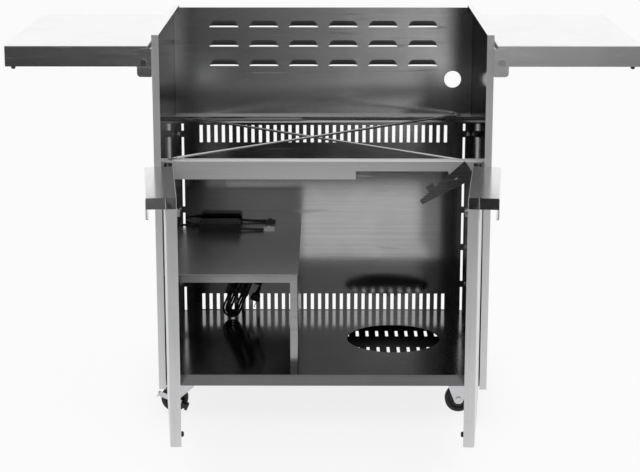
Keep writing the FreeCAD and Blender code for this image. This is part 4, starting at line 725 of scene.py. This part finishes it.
FROM_GLAND = [
    (0, 0, 0), (-11, 0.8, -0.3), (-22, 5, -1.5), (-29, 14, -4), (-29, 24, -6.5), (-22, 32.5, -9),
    (-10, 37, -11), (6, 38.5, -12.2), (26, 38.8, -12.6), (48, 38.2, -12.7), (70, 37.5, -12.8),
    (86, 36.5, -15), (97, 35, -24), (105, 32, -39), (114, 28, -57), (128, 19, -69),
]
TO_HANK = [(-6, 22, 55), (8, 12, 48), (13, 4, 37), (9.7, 0.5, 24), (4.5, 0, 11), (0, 0, 0)]
gland_low, gland_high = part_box("mains_gland")
gland_tip = Vector((gland_low.x, (gland_low.y + gland_high.y) / 2, (gland_low.z + gland_high.z) / 2))
hank_start = hank_point(half_run, HANK_HALF_WIDTH, HANK_PITCH / 2)
route = [gland_tip + Vector(offset) * MM for offset in FROM_GLAND]
route += [hank_start + Vector(offset) * MM for offset in TO_HANK]
mains_lead = cord_curve("mains_lead", route + hank_points(), CORD_DIAMETER)
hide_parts("mains_cord", "mains_hank")
print(f"mains lead of {len(mains_lead.data.splines[0].points)} points")

# %% [markdown]
# ## The output lead
# A short, thicker lead comes out of the other end of the transformer, settles on the shelf and ends
# in a white connector for the lamps.

# %% Output lead
LEAD_DIAMETER = 7 * MM
LEAD_LENGTH = 60 * MM
LEAD_LIFT = 6 * MM
SHELF_TOP = 336 * MM
case_low, case_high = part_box("transformer_base")
lead_exit = Vector((case_high.x, (case_low.y + case_high.y) / 2, SHELF_TOP + LEAD_LIFT))
lead_drop = LEAD_DIAMETER / 2 + REST_GAP - LEAD_LIFT
LEAD_SHARES = [(0, 0), (0.5, 0.4), (0.2, 0.8), (-0.8, 1), (-1, 1)]
lead_route = [lead_exit + Vector((LEAD_LENGTH * step / 4, sway * MM, drop * lead_drop))
              for step, (sway, drop) in enumerate(LEAD_SHARES)]
light_lead = cord_curve("light_lead", lead_route, LEAD_DIAMETER)
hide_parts("output_lead")
print("output lead laid")

# %% [markdown]
# ## The wheels
# A caster's wheel is a hard core with a rubber tyre moulded round it. The core has ribs between hub
# and rim, and a groove shows where the tyre begins. One closed profile is spun about the axle, and
# its bands take the tyre's or the core's finish by their distance from the axle.

# %% Wheels
HALF_WHEEL = [
    (4.3, 13.2), (11.2, 13.2), (12, 12.6), (13.4, 6.8), (14.4, 6), (19.6, 6), (20.6, 6.8), (21.6, 10.9),
    (22.2, 11.5), (23.4, 11.5), (23.8, 10.7), (24.3, 11.5), (28.8, 11.5), (30.4, 10.5), (31.4, 8.9),
    (32, 6.4),
]
TYRE_START = 23.8
RIB_COUNT = 6
RIB_LOW = (13.2 * MM, -0.9 * MM, 5.6 * MM)
RIB_HIGH = (21 * MM, 0.9 * MM, 9.6 * MM)
AXLE_WAY = Vector((0, 1, 0))
wheel_profile = HALF_WHEEL + [(radius, -half) for radius, half in reversed(HALF_WHEEL)]
wheel_rings = [(radius * MM, height * MM) for radius, height in wheel_profile]


def wheel_piece(node):
    """A tyre on a ribbed core, in the place of a plain wheel."""
    low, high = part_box(node)
    middle = (low + high) / 2
    mesh = bmesh.new()
    bands = add_turned(mesh, wheel_rings, middle, AXLE_WAY, segments=64, closed=True)
    for index, band in enumerate(bands):
        inner = min(wheel_profile[index][0], wheel_profile[(index + 1) % len(wheel_profile)][0])
        for face in band:
            face.material_index = 0 if inner >= TYRE_START else 1
    for rib in range(RIB_COUNT):
        angle = math.tau * (rib + 0.5) / RIB_COUNT
        outward = Vector((math.cos(angle), 0, math.sin(angle)))
        sideways = AXLE_WAY.cross(outward)
        for face_side in (-1, 1):
            def put(spot):
                return middle + outward * spot.x + sideways * spot.y + AXLE_WAY * (face_side * spot.z)
            for face in add_block(mesh, RIB_LOW, RIB_HIGH, put):
                face.material_index = 1
    bmesh.ops.recalc_face_normals(mesh, faces=mesh.faces)
    return new_piece(node.replace("_wheel", "_tyre_and_core"), mesh, node, "tyre_rubber", "wheel_core")


WHEELS = [node for node in nodes if node.endswith("_wheel")]
for node in WHEELS:
    wheel_piece(node)
print(f"{len(WHEELS)} wheels turned")

# %% [markdown]
# ## Screws and bolts
# The frame is held by pan-head screws with a hexagon socket. A pan head is a low dome, so it is
# turned from a few rings, and its last rings are hexagons that go down into the head.

# %% Screws
HEAD_SHAPE = [(1, 0), (1, 0.42), (0.95, 0.66), (0.82, 0.86), (0.62, 1), (0.5, 1)]
SOCKET_SHAPE = [(0.42, 0.97), (0.4, 0.4)]


def hexagon(apothem):
    """A hexagon's radius at each angle."""
    return lambda angle: apothem / math.cos(angle % (math.pi / 3) - math.pi / 6)


def screw_heads(name, node, way_of):
    """Turned heads for all of a node's screws; a function tells which way each one faces."""
    mesh = bmesh.new()
    for low, high in islands(node):
        way = Vector(way_of(low, high))
        sides = high - low
        height = abs(sides.dot(way))
        radius = max(sides) / 2
        foot = (low + high) / 2 - way * height / 2
        rings = [(share * radius, lift * height) for share, lift in HEAD_SHAPE]
        rings += [(hexagon(share * radius), lift * height) for share, lift in SOCKET_SHAPE]
        add_turned(mesh, rings, foot, way)
    bmesh.ops.recalc_face_normals(mesh, faces=mesh.faces)
    return new_piece(name, mesh, node)


front_rail_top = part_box("front_rail")[1].z
rear_rail_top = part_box("rear_rail")[1].z


def frame_way(low, high):
    """Tab screws face the front; brace screws face up above a rail and down below it."""
    if high.y - low.y < 5 * MM:
        return (0, -1, 0)
    rail_top = front_rail_top if low.y < 0 else rear_rail_top
    return (0, 0, 1) if low.z > rail_top - 0.5 * MM else (0, 0, -1)


frame_heads = screw_heads("frame_screw_heads", "frame_screws", frame_way)
caster_heads = screw_heads("caster_bolt_heads", "caster_bolts", lambda low, high: (0, 0, -1))
print(f"{len(frame_heads.data.polygons) + len(caster_heads.data.polygons)} faces of screw heads")

# %% [markdown]
# ## Rubber bumpers
# Small rubber buttons keep the doors and the folded shelves from ringing against the steel. Each is
# a short dome with a dimple from its mould.

# %% Bumpers
DOME_SHAPE = [(1, 0), (1, 0.5), (0.94, 0.74), (0.78, 0.92), (0.5, 1), (0.28, 1), (0.2, 0.9), (0.14, 0.8)]
DOOR_OPEN = math.radians(84)
DOOR_BUMPER = (12 * MM, 6 * MM)
SHELF_BUMPER = (10 * MM, 7.5 * MM)


def bumper_piece(name, node, way, size):
    """Domed buttons in the place of a node's plain ones."""
    diameter, height = size
    mesh = bmesh.new()
    rings = [(share * diameter / 2, lift * height) for share, lift in DOME_SHAPE]
    for low, high in islands(node):
        add_turned(mesh, rings, (low + high) / 2 - way * height / 2, way)
    bmesh.ops.recalc_face_normals(mesh, faces=mesh.faces)
    return new_piece(name, mesh, node)


for side, sign in (("left", 1), ("right", -1)):
    door_way = Vector((sign * math.sin(DOOR_OPEN), math.cos(DOOR_OPEN), 0))
    bumper_piece(f"{side}_door_button", f"{side}_door_bumper", door_way, DOOR_BUMPER)
    bumper_piece(f"{side}_shelf_buttons", f"{side}_shelf_bumpers", Vector((0, 0, -1)), SHELF_BUMPER)
print("bumpers turned")

# %% [markdown]
# ## Folded sheet
# A press brake can't fold a sharp corner: each bend keeps a small radius, and a bright line of light runs
# along it. The solids have sharp corners, so the side shelves, the rails, the door skins, the inner shelf
# and the pulls get copies with rounded outer bends. Only edges between two wide faces are bends. The cut
# edges of the sheet stay sharp. A face with a notch or an opening is first cut into simple faces, because a
# bevel can make such a face cross itself and close the opening.

# %% Fold rounded bends
BEND_RADIUS = 2.5 * MM
BEND_STEPS = 3
LEAST_FACE = 4 * MM
LEAST_BEND = math.radians(40)


def is_bend(edge):
    """Whether an edge is an outer corner between two wide faces."""
    if len(edge.link_faces) != 2 or edge.calc_face_angle_signed() < LEAST_BEND:
        return False
    length = edge.calc_length()
    return all(face.calc_area() / length > LEAST_FACE for face in edge.link_faces)


def folded_mesh(node, radius):
    """A copy of a solid's mesh with rounded outer bends."""
    mesh = bmesh.new()
    mesh.from_mesh(nodes[node].data)
    bmesh.ops.remove_doubles(mesh, verts=mesh.verts, dist=1e-6)
    bmesh.ops.dissolve_limit(mesh, angle_limit=math.radians(1), verts=mesh.verts, edges=mesh.edges)
    bmesh.ops.connect_verts_concave(mesh, faces=mesh.faces)
    before = mesh.calc_volume()
    bends = [edge for edge in mesh.edges if is_bend(edge)]
    bmesh.ops.bevel(mesh, geom=bends, offset=radius, offset_type="OFFSET", segments=BEND_STEPS,
                    profile=0.5, affect="EDGES", clamp_overlap=True)
    print(f"{node}: {len(bends)} bends, volume {mesh.calc_volume() / before:.3f} of the solid's")
    return mesh


def folded_piece(name, mesh, node, *finish_names):
    """A piece from a folded mesh, shaded so that its flat faces stay flat."""
    piece = new_piece(name, mesh, node, *finish_names)
    piece.modifiers.new("even_shading", "WEIGHTED_NORMAL").keep_sharp = True
    return piece


for node in ("left_shelf_pan", "right_shelf_pan", "front_rail", "left_door_skin", "right_door_skin"):
    folded_piece(f"{node}_folded", folded_mesh(node, BEND_RADIUS), node)

# %% [markdown]
# The inner shelf is folded the same way. Its top faces take a paler, duller finish than its front edge and
# its leg.

# %% Inner shelf
inner_shelf = folded_mesh("inner_shelf", BEND_RADIUS)
for face in inner_shelf.faces:
    face.material_index = 1 if face.normal.z > 0.5 else 0
folded_piece("inner_shelf_folded", inner_shelf, "inner_shelf", "inner_shelf_sheet", "inner_shelf_top")

# %% [markdown]
# The rear rail laps the joint of the two rear panels. Its folded top is painted pale as one bright line, a
# painted highlight for the light from above, and its face is as dark a mirror as the panel behind it.

# %% Rear rail
rear_rail = folded_mesh("rear_rail", BEND_RADIUS)
# Upward faces take the pale rail finish, a painted highlight.
for face in rear_rail.faces:
    face.material_index = 1 if face.normal.z > 0.2 else 0
folded_piece("rear_rail_folded", rear_rail, "rear_rail", "rear_sheet", "rail_sheet")

# %% [markdown]
# ## Pulls
# Each door's pull is a channel along its top edge that reaches out over the front and ends in a
# hanging lip. A small plate closes its free end, welded in under the top. The doors stand open in
# this pose, so the plate is laid out on the closed door and then turned about the hinge.

# %% Pulls with end plates
GAUGE = 1.5 * MM
HINGE_REACH = 352 * MM
HINGE_SETBACK = 11 * MM
FREE_EDGE = 350.5 * MM
PULL_REACH = 41 * MM
PULL_HEIGHT = 24 * MM


def close_pull(mesh, side, sign):
    """Weld a plate into the free end of a pull's overhang."""
    pivot = Vector((sign * HINGE_REACH, front + HINGE_SETBACK, 0))
    angle = sign * DOOR_OPEN
    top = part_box(f"{side}_door_pull")[1].z

    def hang(spot):
        closed = Vector((-sign * spot.x, spot.y, spot.z))
        turned = Vector((closed.x * math.cos(angle) - closed.y * math.sin(angle),
                         closed.x * math.sin(angle) + closed.y * math.cos(angle), closed.z))
        return pivot + turned

    low = (FREE_EDGE - GAUGE, -HINGE_SETBACK - PULL_REACH + GAUGE, top - PULL_HEIGHT)
    high = (FREE_EDGE, -HINGE_SETBACK, top - GAUGE)
    plate = add_block(mesh, low, high, hang)
    bmesh.ops.recalc_face_normals(mesh, faces=plate)


for side, sign in (("left", -1), ("right", 1)):
    pull = folded_mesh(f"{side}_door_pull", BEND_RADIUS)
    close_pull(pull, side, sign)
    folded_piece(f"{side}_door_pull_folded", pull, f"{side}_door_pull")

# %% [markdown]
# Moulded parts have rounded edges too, where the plastic leaves its mould: the transformer's case
# and the brake pedals.

# %% Round the moulded parts
MOULD_RADIUS = 1.5 * MM
for node in ("transformer_case", "front_left_brake_pedal", "rear_left_brake_pedal"):
    folded_piece(f"{node}_moulded", folded_mesh(node, MOULD_RADIUS), node)

# %% [markdown]
# ## Panels with two sides
# The cabinet's sheets are polished on the inside only, and their inside faces take darker colours than the
# outside, a painted shade. Outside they have the plain brushed finish of the doors, and the top flange that
# the grill rests on is painted as bright as the side shelves, a painted highlight. The louvres are pressed
# out of the upper rear panel, and inside the hoods the steel is dull and painted dark, a painted shade. A
# copy of each panel gives its faces their finishes by the way that they look.

# %% Two-sided panels
def faced_piece(name, node, finish_names, choose):
    """A copy of a panel whose faces take finishes chosen by a function."""
    mesh = bmesh.new()
    mesh.from_mesh(nodes[node].data)
    for face in mesh.faces:
        face.material_index = choose(face)
    piece = new_piece(name, mesh, node, *finish_names)
    print(f"{name} with {len(piece.data.polygons)} faces")


FLANGE_REACH = 30 * MM
PRESSED_DEPTH = 0.05 * MM
sheet_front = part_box("rear_panel_upper")[0].y


def rear_choice(face):
    """Finish 1 outside, 2, the painted shade, inside the hoods, which lie behind the sheet's front, and 0
    elsewhere.
    """
    if face.normal.y > 0.5:
        return 1
    inside_hood = face.normal.y < -0.02 and face.calc_center_median().y > sheet_front + PRESSED_DEPTH
    return 2 if inside_hood else 0


def side_choice(sign):
    """Finish 1 on the outside and the front flange, 2 on the top flange as a painted highlight, and 0, a
    painted shade, elsewhere.
    """
    def choose(face):
        if face.normal.z > 0.5:
            return 2
        front_flange = face.normal.y < -0.5 and face.calc_center_median().y < front + FLANGE_REACH
        return 1 if front_flange or sign * face.normal.x > 0.5 else 0
    return choose


# Inside faces take darker colours than the outside, a painted shade.
faced_piece("louvred_panel", "rear_panel_upper", ("upper_rear_sheet", "rail_sheet", "louvre_painted_shade"),
            rear_choice)
faced_piece("lower_panel", "rear_panel_lower", ("rear_sheet", "rail_sheet"),
            lambda face: 1 if face.normal.y > 0.5 else 0)
# Upward faces take the pale shelf finish as a painted highlight, and inside faces the dark side finish as a
# painted shade.
for side, sign in (("left", -1), ("right", 1)):
    faced_piece(f"{side}_wall", f"{side}_side_panel", ("side_sheet", "door_sheet", "shelf_sheet"),
                side_choice(sign))

# %% [markdown]
# ## Update the scene
# The view layer is brought up to date at the end.

# %% Update the scene
bpy.context.view_layer.update()
